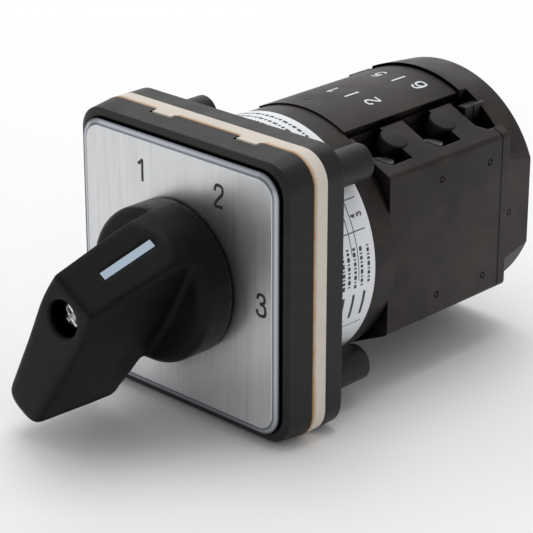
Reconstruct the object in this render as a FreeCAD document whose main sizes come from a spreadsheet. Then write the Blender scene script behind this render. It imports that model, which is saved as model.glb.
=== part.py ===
import FreeCAD, Part
import math
import os
import Sketcher

# Rotary cam switch for panel mounting, 48 mm square front, three positions, two contact stages.
# X is to the right seen from the front, Z is up, Y runs from the knob (negative) to the rear.
# The origin lies on the shaft axis, in the plane where the gasket meets the mounting plate.

# Name, value in mm or degrees, and what it is
SIZES = (
    ("front_width", "=screw_pitch + 2 * screw_inset", "side of the square bezel, gasket and mounting plate"),
    ("corner_radius", 5.0, "corner radius of the bezel, gasket and mounting plate"),
    ("gasket_thickness", 3.05, "thickness of the panel gasket"),
    ("bezel_depth", 5.05, "depth of the bezel from its front to the gasket"),
    ("bezel_wall", 2.0, "side wall of the bezel"),
    ("bezel_draft", 7.4, "angle by which the bezel's sides lean in towards the front"),
    ("bezel_bevel_depth", 0.45, "height of the bevel round the bezel's front"),
    ("bezel_bevel_width", 0.9, "width of that bevel"),
    ("plate_seat", 0.85, "depth of the seat for the legend plate"),
    ("plate_gap", 0.25, "gap round the legend plate"),
    ("legend_width", "=front_width - 2 * legend_margin", "side of the legend plate, which stands proud of the bezel"),
    ("legend_margin", 2.0, "distance of the legend plate from the sides of the front"),
    ("legend_radius", 4.0, "corner radius of the legend plate"),
    ("legend_thickness", 1.9, "thickness of the legend plate"),
    ("legend_bevel_depth", 0.45, "height of the bevel on the legend plate"),
    ("legend_bevel_width", 1.2, "width of the bevel on the legend plate"),
    ("notch_width", 5.2, "width of the two notches in the bezel's top wall"),
    ("notch_depth", 1.4, "depth of those notches from the gasket"),
    ("notch_left", -8.3, "X of the left notch"),
    ("notch_right", 10.6, "X of the right notch"),
    ("tab_side_gap", 0.5, "gap on each side of a gasket tab in its notch"),
    ("tab_length", 1.1, "how far a gasket tab reaches into its notch"),
    ("screw_pitch", "=(housing_diameter + boss_diameter + 2 * boss_gap) / sqrt(2)",
     "square pitch of the four panel screws, whose bosses stand clear of the detent housing"),
    ("screw_inset", 6.5, "distance of the panel screws from the sides of the front"),
    ("boss_gap", 0.499, "gap between those bosses and the detent housing"),
    ("screw_hole", 3.6, "diameter of the panel screw holes"),
    ("screw_head_hole", 6.8, "counterbore for a panel screw's head in the bezel"),
    ("screw_head_depth", 2.4, "depth of that counterbore"),
    ("pillar", 8.4, "diameter of the pillars round those holes in the bezel"),
    ("plate_thickness", 3.73, "thickness of the mounting plate"),
    ("boss_diameter", 6.1, "diameter of the mounting plate's four rear bosses"),
    ("boss_end", 14.6, "Y where those bosses end"),
    ("gasket_opening", 29.0, "opening in the middle of the gasket"),
    ("hub_diameter", 17.0, "diameter of the bezel's middle hub"),
    ("spigot_diameter", 15.0, "diameter of the detent housing's spigot in the mounting plate"),
    ("spigot_length", 2.4, "how far the spigot reaches into the mounting plate"),
    ("spigot_clearance", 0.1, "radial clearance of the spigot in the mounting plate"),
    ("journal_diameter", 9.0, "front journal of the shaft"),
    ("journal_clearance", 0.05, "radial clearance of the shaft's journals"),
    ("journal_front", -7.2, "Y where the front journal starts"),
    ("shaft_square", 6.0, "side of the square shaft"),
    ("socket_clearance", 0.05, "clearance on each side of the square shaft"),
    ("shaft_front", -26.0, "Y of the shaft's front end"),
    ("shaft_square_end", 49.6, "Y where the square of the shaft ends"),
    ("rear_journal_diameter", 5.6, "rear journal of the shaft"),
    ("rear_journal_length", 3.4, "length of the rear journal"),
    ("seal_section", 1.6, "section of the shaft's ring seal"),
    ("seal_clearance", 0.05, "clearance of the ring seal on the shaft and in its groove"),
    ("knob_angle", 30.0, "angle of the knob as pictured, clockwise from straight up"),
    ("knob_gap", 0.3, "gap between the knob's collar and the legend plate"),
    ("collar_diameter", 25.9, "diameter of the knob's collar"),
    ("collar_front", -16.0, "Y of the front of the knob's collar"),
    ("collar_rounding", 1.4, "rounding of the collar's front edge"),
    ("knob_front", -33.5, "Y of the knob's front face"),
    ("nose_front", 5.9, "how far the front face reaches towards the pointer side"),
    ("nose_past", 1.0, "how far that side runs past the collar at the collar's front, before it is trimmed"),
    ("nose_front_width", 8.5, "width of the handle there, at the front"),
    ("nose_back_width", 11.4, "width of the handle there, at the collar"),
    ("waist_front_width", 9.6, "width of the handle over the shaft, at the front"),
    ("waist_back_width", 13.0, "width of the handle over the shaft, at the collar"),
    ("tail_front", 21.2, "how far the tail reaches from the shaft, at the front"),
    ("tail_back", 19.6, "the same at the back of the tail"),
    ("tail_front_width", 6.6, "width of the tail's end, at the front"),
    ("tail_back_width", 8.6, "width of the tail's end, at the back"),
    ("tail_under", -16.9, "Y of the underside of the tail at its end"),
    ("nose_rounding", 0.8, "rounding of the long edges beside the pointer face"),
    ("waist_rounding", 40.0, "rounding of the handle's sides over the shaft"),
    ("tail_rounding", 2.2, "rounding of the long edges of the tail"),
    ("handle_edge", 0.7, "rounding of the edges round the handle's front face"),
    ("head_hole", 6.2, "bore for the knob screw's head"),
    ("head_hole_floor", -27.4, "Y of the floor of that bore"),
    ("knob_screw_head", 5.4, "diameter of the knob screw's head"),
    ("knob_screw_head_height", 2.4, "height of the knob screw's head"),
    ("knob_screw_size", 2.9, "thread of the knob screw"),
    ("knob_screw_length", 11.0, "length of the knob screw under its head"),
    ("thread_clearance", 0.05, "radial clearance round a thread in its tapped hole"),
    ("pointer_margin", 0.85, "distance of the pointer line's outer end from the collar's rim"),
    ("pointer_length", 9.35, "length of the pointer line"),
    ("pointer_width", 1.4, "width of the pointer line"),
    ("pointer_depth", 0.4, "depth of the pointer line's groove"),
    ("housing_diameter", 42.4, "outside of the round detent housing"),
    ("housing_wall", 2.0, "its side wall"),
    ("housing_front_wall", 2.5, "its front wall"),
    ("housing_end", 19.6, "Y where the detent housing meets the contact housing"),
    ("label_start", 5.0, "Y of the front edge of the label"),
    ("label_end", 14.5, "Y of the rear edge of the label"),
    ("label_thickness", 0.16, "thickness of the label"),
    ("label_wrap", 340.0, "angle that the label covers"),
    ("star_diameter", 16.4, "tip diameter of the detent star"),
    ("star_front", 8.5, "Y of the detent star's front"),
    ("star_width", 5.0, "width of the detent star"),
    ("valley_radius", 2.2, "radius of a valley in the star"),
    ("valley_depth", 1.3, "depth of a valley"),
    ("follower_nose", 1.6, "nose radius of a detent follower"),
    ("follower_lift_gap", 0.15, "gap of a lifted follower over the star's tips"),
    ("follower_width", 4.6, "width of a detent follower"),
    ("follower_depth", 4.4, "depth of a detent follower along the shaft"),
    ("follower_end", 14.6, "distance of a follower's outer end from the axis"),
    ("guide_gap", 0.25, "gap between a follower and its guide"),
    ("guide_wall", 1.4, "wall of a follower's guide"),
    ("guide_start", 10.6, "distance of the guides' inner ends from the axis"),
    ("spring_seat_depth", 2.2, "depth of the spring's seat in a follower"),
    ("stop_front", 14.2, "Y of the stop disc's front"),
    ("stop_width", 2.8, "width of the stop disc"),
    ("stop_hub", 14.0, "diameter of the stop disc's hub"),
    ("stop_reach", 13.4, "how far the stop disc's tab reaches from the axis"),
    ("stop_tab_width", 4.4, "width of that tab"),
    ("stop_pin_diameter", 3.0, "diameter of the two stop pins"),
    ("stop_pin_radius", 11.5, "distance of the stop pins from the axis"),
    ("stop_pin_gap", 0.1, "gap between the tab and a stop pin at the end of travel"),
    ("turn_each_way", 60.0, "how far the knob turns to each side"),
    ("tie_offset", 16.2, "distance of the tie bolts from the shaft axis"),
    ("tie_diameter", 2.9, "thread of a tie bolt"),
    ("tie_hole", 3.3, "hole for a tie bolt"),
    ("tie_head", 5.4, "head of a tie bolt"),
    ("tie_head_height", 2.2, "height of a tie bolt's head"),
    ("tie_head_hole", 6.0, "counterbore for a tie bolt's head"),
    ("tie_front", 12.6, "Y of the front ends of the tie bolts"),
    ("insert_diameter", 4.2, "outside of a threaded insert"),
    ("insert_length", 4.4, "length of a threaded insert"),
    ("insert_boss", 6.6, "boss round a threaded insert"),
    ("insert_boss_start", 11.0, "Y where that boss starts"),
    ("plate_screw_offset", 11.0, "distance of the two plate screws above and below the axis"),
    ("plate_screw_size", 2.5, "thread of a plate screw"),
    ("plate_screw_head", 4.7, "head diameter of a plate screw"),
    ("plate_screw_head_height", 1.3, "height of its countersunk head"),
    ("plate_screw_end", 5.9, "Y where a plate screw ends"),
    ("block_half_width", 19.8, "half width of the contact housing"),
    ("block_side_half", 13.85, "half height of its flat side face"),
    ("shelf_inner", 10.5, "X where the sloping shelf ends at the roof groove"),
    ("shelf_top", 18.2, "Z of the shelf's inner edge"),
    ("block_corner", 1.0, "rounding of the contact housing's long outer edges"),
    ("groove_floor", 16.0, "Z of the groove beside the roof"),
    ("roof_half_width", 9.4, "half width of the roof under a terminal cover"),
    ("block_length", 29.0, "length of the contact housing"),
    ("block_front_wall", 1.4, "front wall of the contact housing"),
    ("stage_pitch", 12.5, "distance between the two contact stages"),
    ("stage_middle", 4.3, "distance of a stage's contacts from where the stage starts"),
    ("cover_radius", 21.5, "outer radius of the two terminal covers"),
    ("cover_thickness", 1.4, "thickness of a terminal cover"),
    ("cover_half_angle", 26.6, "half of the angle that a cover spans"),
    ("cover_roof_gap", 0.15, "gap between a cover and the roof"),
    ("cam_well", 17.8, "diameter of the well for the cams"),
    ("cam_radius", 7.0, "middle radius of a cam"),
    ("cam_width", 4.0, "width of a cam"),
    ("cam_hub", 10.8, "hub diameter of a cam"),
    ("contact_travel", 1.2, "travel of a contact from the middle position to each side"),
    ("cam_overrun", 5.0, "angle by which a cam's spiral runs past the end positions"),
    ("plunger_gap", 0.12, "gap between a cam and a plunger's foot"),
    ("plunger_foot", 1.0, "radius of a plunger's foot"),
    ("plunger_width", 4.8, "width of a plunger"),
    ("plunger_depth", 4.0, "depth of a plunger along the shaft"),
    ("bridge_height", 11.6, "distance of the contact bridge from the axis, half way"),
    ("bridge_half_length", 7.6, "half length of a contact bridge"),
    ("bridge_width", 4.0, "width of a contact bridge"),
    ("bridge_thickness", 0.8, "thickness of a contact bridge"),
    ("plunger_head", 1.3, "height of a plunger above its bridge"),
    ("button_offset", 5.9, "X of the contact buttons"),
    ("button_diameter", 2.8, "diameter of a contact button"),
    ("button_height", 0.6, "height of a contact button"),
    ("closed_gap", 0.1, "gap kept between closed contact buttons"),
    ("chamber_half_width", 8.2, "half width of a contact chamber"),
    ("chamber_half_depth", 2.9, "half depth of a contact chamber along the shaft"),
    ("strip_inner", 4.0, "X of a terminal strip's inner end"),
    ("strip_thickness", 0.8, "thickness of a terminal strip"),
    ("strip_width", 4.0, "width of a terminal strip"),
    ("strip_step", 10.6, "X of the step in a terminal strip"),
    ("strip_outer", 17.2, "X of a terminal strip's outer end"),
    ("pocket_inner", 9.8, "X of a terminal pocket's inner wall"),
    ("pocket_outer", 17.7, "X of a terminal pocket's outer wall"),
    ("pocket_floor", 10.2, "Z of a terminal pocket's floor"),
    ("pocket_rear", 7.9, "distance of a pocket's rear wall from where its stage starts"),
    ("pocket_wall_inner", 0.95, "front wall of a pocket at its inner part"),
    ("pocket_wall_outer", 2.6, "front wall of a pocket at its outer end"),
    ("pocket_wall_turn", 16.2, "X where the front wall starts to thicken"),
    ("slot_gap", 0.1, "gap round a terminal strip in its slot"),
    ("guide_boss", 4.8, "diameter of the round boss at a pocket's rear wall"),
    ("guide_boss_x", 13.2, "X of that boss"),
    ("guide_boss_y", 8.3, "distance of that boss from where its stage starts"),
    ("guide_boss_length", 2.4, "length of that boss below the shelf"),
    ("terminal_screw_x", 14.0, "X of a terminal screw"),
    ("terminal_screw_head", 4.2, "head diameter of a terminal screw"),
    ("terminal_screw_head_height", 2.4, "height of its head"),
    ("terminal_screw_size", 3.0, "thread of a terminal screw"),
    ("terminal_screw_length", 6.0, "length of a terminal screw under its head"),
    ("screw_slot_width", 0.8, "width of the slot in a terminal screw"),
    ("screw_slot_depth", 0.9, "depth of that slot"),
    ("screw_well", 3.6, "well under a terminal screw"),
    ("clamp_thickness", 0.8, "thickness of a terminal clamp"),
    ("clamp_width", 5.4, "width of a terminal clamp over its lips"),
    ("clamp_depth", 5.0, "length of a terminal clamp along the shaft"),
    ("clamp_lip", 0.9, "height of a terminal clamp's lips"),
    ("clamp_lip_thickness", 0.5, "thickness of those lips"),
    ("spring_wire", 0.45, "wire of the springs"),
    ("spring_diameter", 3.2, "middle diameter of the springs"),
    ("contact_spring_turns", 5.0, "turns of a contact spring"),
    ("detent_spring_turns", 4.0, "turns of a detent spring"),
    ("spring_end_gap", 0.1, "gap at each end of a spring"),
    ("cap_flange", 2.0, "thickness of the end cap's flange"),
    ("cap_length", 8.5, "length of the end cap"),
    ("cap_radius", 22.0, "radius of the end cap at its front"),
    ("cap_rear_radius", 21.2, "radius of the end cap at its rear"),
    ("cap_edge", 0.6, "rounding of the end cap's rear edge"),
    ("cap_tab_x", 12.4, "X of the tabs that the end cap reaches into the rear recesses"),
    ("cap_tab_width", 1.7, "width of those tabs"),
    ("cap_tab_length", 2.2, "length of those tabs"),
    ("recess_floor", 12.0, "Z of the floor of the rear recesses"),
    ("cap_well", 9.2, "diameter of the well for the shaft in the end cap"),
    ("cap_well_depth", 1.6, "depth of that well"),
)


class Size:
    """A length or an angle: its value, and the formula that gives it from the sheet."""

    def __init__(self, value, text):
        self.value = value
        self.text = text

    def __add__(self, other):
        other = as_size(other)
        return Size(self.value + other.value, f"({self.text} + {other.text})")

    def __sub__(self, other):
        other = as_size(other)
        return Size(self.value - other.value, f"({self.text} - {other.text})")

    def __mul__(self, other):
        other = as_size(other)
        return Size(self.value * other.value, f"({self.text} * {other.text})")

    def __truediv__(self, other):
        other = as_size(other)
        return Size(self.value / other.value, f"({self.text} / {other.text})")

    def __neg__(self):
        return Size(-self.value, f"(-{self.text})")

    def __rsub__(self, other):
        return as_size(other) - self


def as_size(number):
    if isinstance(number, Size):
        return number
    return Size(float(number), f"{float(number):.6f}" if number >= 0 else f"({float(number):.6f})")


class Sizes:
    """The named sizes, each read back from the sheet."""

    def __init__(self, sheet):
        self.sheet = sheet

    def __getattr__(self, alias):
        return Size(float(self.sheet.get(alias)), f"sizes.{alias}")


def sine(angle):
    return Size(math.sin(math.radians(angle.value)), f"sin({angle.text} * 1 deg)")


def cosine(angle):
    return Size(math.cos(math.radians(angle.value)), f"cos({angle.text} * 1 deg)")


doc = FreeCAD.newDocument("rotary_cam_switch")
sheet = doc.addObject("Spreadsheet::Sheet", "sizes")
for row, (alias, value, meaning) in enumerate(SIZES, start=1):
    sheet.set(f"A{row}", meaning)
    sheet.set(f"B{row}", str(value))
    sheet.setAlias(f"B{row}", alias)
doc.recompute()
size = Sizes(sheet)
sub_parts = []


# Small tools for bound objects

def vector(x=0.0, y=0.0, z=0.0):
    return FreeCAD.Vector(x, y, z)


def bind(thing, prop, amount):
    thing.setExpression(prop, as_size(amount).text)


def move(thing, x=0.0, y=0.0, z=0.0):
    for axis, amount in (("x", x), ("y", y), ("z", z)):
        if isinstance(amount, Size):
            bind(thing, f".Placement.Base.{axis}", amount)


def keep(thing, label):
    """Name a finished sub-part, which gives its file its name."""
    thing.Label = label
    sub_parts.append(thing)
    return thing


def box(name, x, y, z):
    """A block between the two values given on each axis."""
    block = doc.addObject("Part::Box", name)
    for prop, (low, high) in (("Length", x), ("Width", y), ("Height", z)):
        bind(block, prop, as_size(high) - low)
    move(block, as_size(x[0]), as_size(y[0]), as_size(z[0]))
    return block


def rod(name, diameter, along, start, end, x=0, y=0, z=0):
    """A round bar along one axis, between two values on it."""
    bar = doc.addObject("Part::Cylinder", name)
    bind(bar, "Radius", as_size(diameter) / 2)
    bind(bar, "Height", as_size(end) - start)
    turns = {"x": (vector(0, 1, 0), 90), "y": (vector(1, 0, 0), -90), "z": (vector(0, 0, 1), 0)}
    bar.Placement = FreeCAD.Placement(vector(), FreeCAD.Rotation(*turns[along]))
    place = {"x": as_size(x), "y": as_size(y), "z": as_size(z)}
    place[along] = as_size(start)
    move(bar, **place)
    return bar


def taper(name, start_diameter, end_diameter, start, end, x=0, z=0):
    """A cone along the shaft axis."""
    cone = doc.addObject("Part::Cone", name)
    bind(cone, "Radius1", as_size(start_diameter) / 2)
    bind(cone, "Radius2", as_size(end_diameter) / 2)
    bind(cone, "Height", as_size(end) - start)
    cone.Placement = FreeCAD.Placement(vector(), FreeCAD.Rotation(vector(1, 0, 0), -90))
    move(cone, as_size(x), as_size(start), as_size(z))
    return cone


def fuse(name, things):
    joined = doc.addObject("Part::MultiFuse", name)
    joined.Shapes = things
    return joined


def cut(name, base, tools):
    """The base without its tools, which are joined first."""
    left = doc.addObject("Part::Cut", name)
    left.Base = base
    left.Tool = tools[0] if len(tools) == 1 else fuse(f"{name}_cuts", tools)
    return left


def common(name, first, second):
    shared = doc.addObject("Part::MultiCommon", name)
    shared.Shapes = [first, second]
    return shared


def group(name, solids):
    """Several separate solids that share one file."""
    held = doc.addObject("Part::Compound", name)
    held.Links = solids
    return held


def new_body(name):
    return doc.addObject("PartDesign::Body", name)


def start_sketch(body, name, role="XZ_Plane", at=0.0):
    """A sketch on one of the body's own planes, moved along that plane's normal."""
    sketch = body.newObject("Sketcher::SketchObject", name)
    plane = next(f for f in body.Origin.OriginFeatures if f.Role == role)
    sketch.AttachmentSupport = [(plane, "")]
    sketch.MapMode = "FlatFace"
    # the normal of the XZ plane points to the front
    bind(sketch, ".AttachmentOffset.Base.z", -as_size(at) if role == "XZ_Plane" else as_size(at))
    return sketch


def pin(sketch, geometry, point, across, up):
    """Hold a point of the sketch at its distances from the origin."""
    for kind, amount, axis in (("DistanceX", as_size(across), -2), ("DistanceY", as_size(up), -1)):
        if amount.text == "0.000000":
            sketch.addConstraint(Sketcher.Constraint("PointOnObject", geometry, point, axis))
        else:
            index = sketch.addConstraint(Sketcher.Constraint(kind, -1, 1, geometry, point, amount.value))
            bind(sketch, f"Constraints[{index}]", amount)


def outline(sketch, corners):
    """A closed outline of straight lines through the corners."""
    first = sketch.GeometryCount
    count = len(corners)
    points = [vector(as_size(a).value, as_size(b).value) for a, b in corners]
    for i in range(count):
        sketch.addGeometry(Part.LineSegment(points[i], points[(i + 1) % count]), False)
    for i in range(count):
        after = first + (i + 1) % count
        sketch.addConstraint(Sketcher.Constraint("Coincident", first + i, 2, after, 1))
    for i, (across, up) in enumerate(corners):
        pin(sketch, first + i, 1, across, up)


def circle(sketch, diameter, across=0, up=0):
    diameter = as_size(diameter)
    middle = vector(as_size(across).value, as_size(up).value)
    ring = sketch.addGeometry(Part.Circle(middle, vector(0, 0, 1), diameter.value / 2), False)
    pin(sketch, ring, 3, across, up)
    index = sketch.addConstraint(Sketcher.Constraint("Diameter", ring, diameter.value))
    bind(sketch, f"Constraints[{index}]", diameter)


def rounded_square(sketch, width, radius):
    """A square with round corners, centred on the origin."""
    half, radius = as_size(width) / 2, as_size(radius)
    h, r = half.value, radius.value
    corner = h - r
    lines = ((-corner, h, corner, h), (h, corner, h, -corner), (corner, -h, -corner, -h), (-h, -corner, -h, corner))
    arcs = ((corner, corner, 0), (corner, -corner, 270), (-corner, -corner, 180), (-corner, corner, 90))
    first = sketch.GeometryCount
    for x1, y1, x2, y2 in lines:
        sketch.addGeometry(Part.LineSegment(vector(x1, y1), vector(x2, y2)), False)
    for x, y, angle in arcs:
        full = Part.Circle(vector(x, y), vector(0, 0, 1), r)
        start, end = math.radians(angle), math.radians(angle + 90)
        sketch.addGeometry(Part.ArcOfCircle(full, start, end), False)
    for i in range(4):
        line, arc, after = first + i, first + 4 + i, first + (i + 1) % 4
        sketch.addConstraint(Sketcher.Constraint("Tangent", line, 2, arc, 2))
        sketch.addConstraint(Sketcher.Constraint("Tangent", arc, 1, after, 1))
        level = "Horizontal" if i % 2 == 0 else "Vertical"
        sketch.addConstraint(Sketcher.Constraint(level, line))
        if i:
            sketch.addConstraint(Sketcher.Constraint("Equal", first + 4, arc))
    sides = (("DistanceY", first, half), ("DistanceX", first + 1, half),
             ("DistanceY", first + 2, -half), ("DistanceX", first + 3, -half))
    for kind, line, amount in sides:
        index = sketch.addConstraint(Sketcher.Constraint(kind, -1, 1, line, 1, amount.value))
        bind(sketch, f"Constraints[{index}]", amount)
    index = sketch.addConstraint(Sketcher.Constraint("Radius", first + 4, r))
    bind(sketch, f"Constraints[{index}]", radius)


def pad(body, sketch, length, towards_rear=True):
    """Material from the sketch, backwards along the shaft unless told otherwise."""
    feature = body.newObject("PartDesign::Pad", f"{sketch.Name}_pad")
    feature.Profile = sketch
    feature.Reversed = towards_rear
    bind(feature, "Length", length)
    doc.recompute()
    return feature


def pocket(body, sketch, length, midplane=False):
    """A cut from the sketch, backwards along the shaft unless it lies to both sides of the plane."""
    before = body.Shape.Volume
    feature = body.newObject("PartDesign::Pocket", f"{sketch.Name}_pocket")
    feature.Profile = sketch
    feature.Midplane = midplane
    bind(feature, "Length", length)
    doc.recompute()
    if body.Shape.Volume >= before:
        raise RuntimeError(f"{feature.Name} cuts nothing")
    return feature


def dress(body, kind, name, prop, amount, wanted):
    """A fillet or chamfer on the edges that the test picks."""
    base = body.Tip
    names = [f"Edge{i}" for i, edge in enumerate(base.Shape.Edges, start=1) if wanted(edge)]
    feature = body.newObject(f"PartDesign::{kind}", name)
    feature.Base = (base, names)
    bind(feature, prop, amount)
    doc.recompute()
    return feature


def at_depth(edge, depth):
    """True for an edge that lies all in the plane at this Y."""
    limits = edge.BoundBox
    return abs(limits.YMin - depth) < 1e-4 and abs(limits.YMax - depth) < 1e-4


def screw_places():
    half = size.screw_pitch / 2
    return [(across, up) for across in (-half, half) for up in (-half, half)]


# Depths along the shaft that several pieces share

bezel_front = -(size.gasket_thickness + size.bezel_depth)
seat_floor = bezel_front + size.plate_seat
legend_front = seat_floor - size.legend_thickness
collar_base = legend_front - size.knob_gap
block_front = size.housing_end
block_rear = block_front + size.block_length
cap_rear = block_rear + size.cap_length
housing_inside = size.plate_thickness + size.housing_front_wall


def stage_start(stage):
    return block_front + size.stage_pitch * stage


# Front: bezel, legend plate, gasket and mounting plate

def make_bezel():
    body = new_body("bezel_body")
    face = start_sketch(body, "bezel_face", at=-size.gasket_thickness)
    rounded_square(face, size.front_width, size.corner_radius)
    block = pad(body, face, size.bezel_depth, towards_rear=False)
    bind(block, "TaperAngle", -size.bezel_draft)
    doc.recompute()
    bevel = dress(body, "Chamfer", "bezel_bevel", "Size", size.bezel_bevel_depth,
                  lambda edge: at_depth(edge, bezel_front.value))
    bevel.ChamferType = "Two distances"
    bind(bevel, "Size2", size.bezel_bevel_width)
    seat = start_sketch(body, "bezel_seat", at=bezel_front)
    seat_width = size.legend_width + size.plate_gap * 2
    rounded_square(seat, seat_width, size.legend_radius + size.plate_gap)
    pocket(body, seat, size.plate_seat)
    # the hollow at the rear leaves a side wall, four pillars and the middle hub
    hollow = start_sketch(body, "bezel_hollow", at=seat_floor + size.screw_head_depth)
    inside = size.front_width - size.bezel_wall * 2
    rounded_square(hollow, inside, size.corner_radius - size.bezel_wall)
    for across, up in screw_places():
        circle(hollow, size.pillar, across, up)
    circle(hollow, size.hub_diameter)
    pocket(body, hollow, size.bezel_depth)
    heads = start_sketch(body, "bezel_head_holes", at=bezel_front)
    for across, up in screw_places():
        circle(heads, size.screw_head_hole, across, up)
    pocket(body, heads, size.plate_seat + size.screw_head_depth)
    holes = start_sketch(body, "bezel_holes", at=bezel_front)
    for across, up in screw_places():
        circle(holes, size.screw_hole, across, up)
    circle(holes, size.journal_diameter + size.journal_clearance * 2)
    pocket(body, holes, size.bezel_depth)
    groove = start_sketch(body, "bezel_seal_groove", at=-size.gasket_thickness - seal_width)
    circle(groove, seal_outside)
    pocket(body, groove, seal_width)
    notches = start_sketch(body, "bezel_notches", at=-size.gasket_thickness - size.notch_depth)
    for middle in (size.notch_left, size.notch_right):
        left, right = middle - size.notch_width / 2, middle + size.notch_width / 2
        low, high = size.front_width / 2 - size.bezel_wall, size.front_width / 2 + 1
        outline(notches, ((left, low), (right, low), (right, high), (left, high)))
    pocket(body, notches, size.notch_depth)
    keep(body, "bezel")


def make_legend_plate():
    body = new_body("legend_plate_body")
    face = start_sketch(body, "legend_face", at=legend_front)
    rounded_square(face, size.legend_width, size.legend_radius)
    pad(body, face, size.legend_thickness)
    bevel = dress(body, "Chamfer", "legend_bevel", "Size", size.legend_bevel_depth,
                  lambda edge: at_depth(edge, legend_front.value))
    bevel.ChamferType = "Two distances"
    bind(bevel, "Size2", size.legend_bevel_width)
    hole = start_sketch(body, "legend_hole", at=legend_front)
    circle(hole, size.journal_diameter + size.knob_gap * 2)
    pocket(body, hole, size.legend_thickness)
    keep(body, "legend_plate")


def make_gasket():
    body = new_body("panel_gasket_body")
    front = -size.gasket_thickness
    face = start_sketch(body, "gasket_face", at=front)
    rounded_square(face, size.front_width, size.corner_radius)
    circle(face, size.gasket_opening)
    for across, up in screw_places():
        circle(face, size.screw_hole, across, up)
    pad(body, face, size.gasket_thickness)
    tabs = start_sketch(body, "gasket_tabs", at=front - size.tab_length)
    half = size.notch_width / 2 - size.tab_side_gap
    for middle in (size.notch_left, size.notch_right):
        low, high = size.front_width / 2 - size.bezel_wall, size.front_width / 2
        corners = ((middle - half, low), (middle + half, low), (middle + half, high), (middle - half, high))
        outline(tabs, corners)
    pad(body, tabs, size.tab_length)
    keep(body, "panel_gasket")


def make_mounting_plate():
    body = new_body("mounting_plate_body")
    face = start_sketch(body, "mounting_face")
    rounded_square(face, size.front_width, size.corner_radius)
    pad(body, face, size.plate_thickness)
    bosses = start_sketch(body, "mounting_bosses", at=size.plate_thickness)
    for across, up in screw_places():
        circle(bosses, size.boss_diameter, across, up)
    pad(body, bosses, size.boss_end - size.plate_thickness)
    holes = start_sketch(body, "mounting_holes")
    for across, up in screw_places():
        circle(holes, size.screw_hole, across, up)
    pocket(body, holes, size.boss_end)
    middle = start_sketch(body, "mounting_middle")
    circle(middle, size.spigot_diameter + size.spigot_clearance * 2)
    for side in (-1, 1):
        circle(middle, size.plate_screw_size + size.thread_clearance * 2, 0, size.plate_screw_offset * side)
    pocket(body, middle, size.plate_thickness)
    sinks = [
        taper(f"mounting_sink_{i}", size.plate_screw_head + size.thread_clearance * 4,
              size.plate_screw_size, 0, size.plate_screw_head_height, z=size.plate_screw_offset * side)
        for i, side in enumerate((-1, 1))
    ]
    keep(cut("mounting_plate_cut", body, sinks), "mounting_plate")


# Shaft, its seal and the knob

nose_back = size.collar_diameter / 2 + size.nose_past

seal_outside = size.journal_diameter + (size.seal_section + size.seal_clearance * 2) * 2
seal_width = size.seal_section + size.seal_clearance * 2


def make_shaft():
    body = new_body("drive_shaft_body")
    square = start_sketch(body, "shaft_square_face", at=size.shaft_front)
    half = size.shaft_square / 2
    outline(square, ((-half, -half), (half, -half), (half, half), (-half, half)))
    pad(body, square, size.shaft_square_end - size.shaft_front)
    journal = start_sketch(body, "shaft_front_journal", at=size.journal_front)
    circle(journal, size.journal_diameter)
    pad(body, journal, housing_inside - size.journal_front)
    rear = start_sketch(body, "shaft_rear_journal", at=size.shaft_square_end)
    circle(rear, size.rear_journal_diameter)
    pad(body, rear, size.rear_journal_length)
    tapped = start_sketch(body, "shaft_tapped_hole", at=size.shaft_front)
    circle(tapped, size.knob_screw_size + size.thread_clearance * 2)
    pocket(body, tapped, size.knob_screw_length)
    keep(body, "drive_shaft")


def make_shaft_seal():
    ring = doc.addObject("Part::Torus", "shaft_seal_ring")
    bind(ring, "Radius1", size.journal_diameter / 2 + seal_width / 2)
    bind(ring, "Radius2", size.seal_section / 2)
    ring.Placement = FreeCAD.Placement(vector(), FreeCAD.Rotation(vector(1, 0, 0), -90))
    move(ring, y=-size.gasket_thickness - seal_width / 2)
    keep(ring, "shaft_seal")


def turned(thing):
    """Turn a piece about the shaft axis to the pictured position."""
    thing.Placement = FreeCAD.Placement(vector(), FreeCAD.Rotation(vector(0, 1, 0), size.knob_angle.value))


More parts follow.
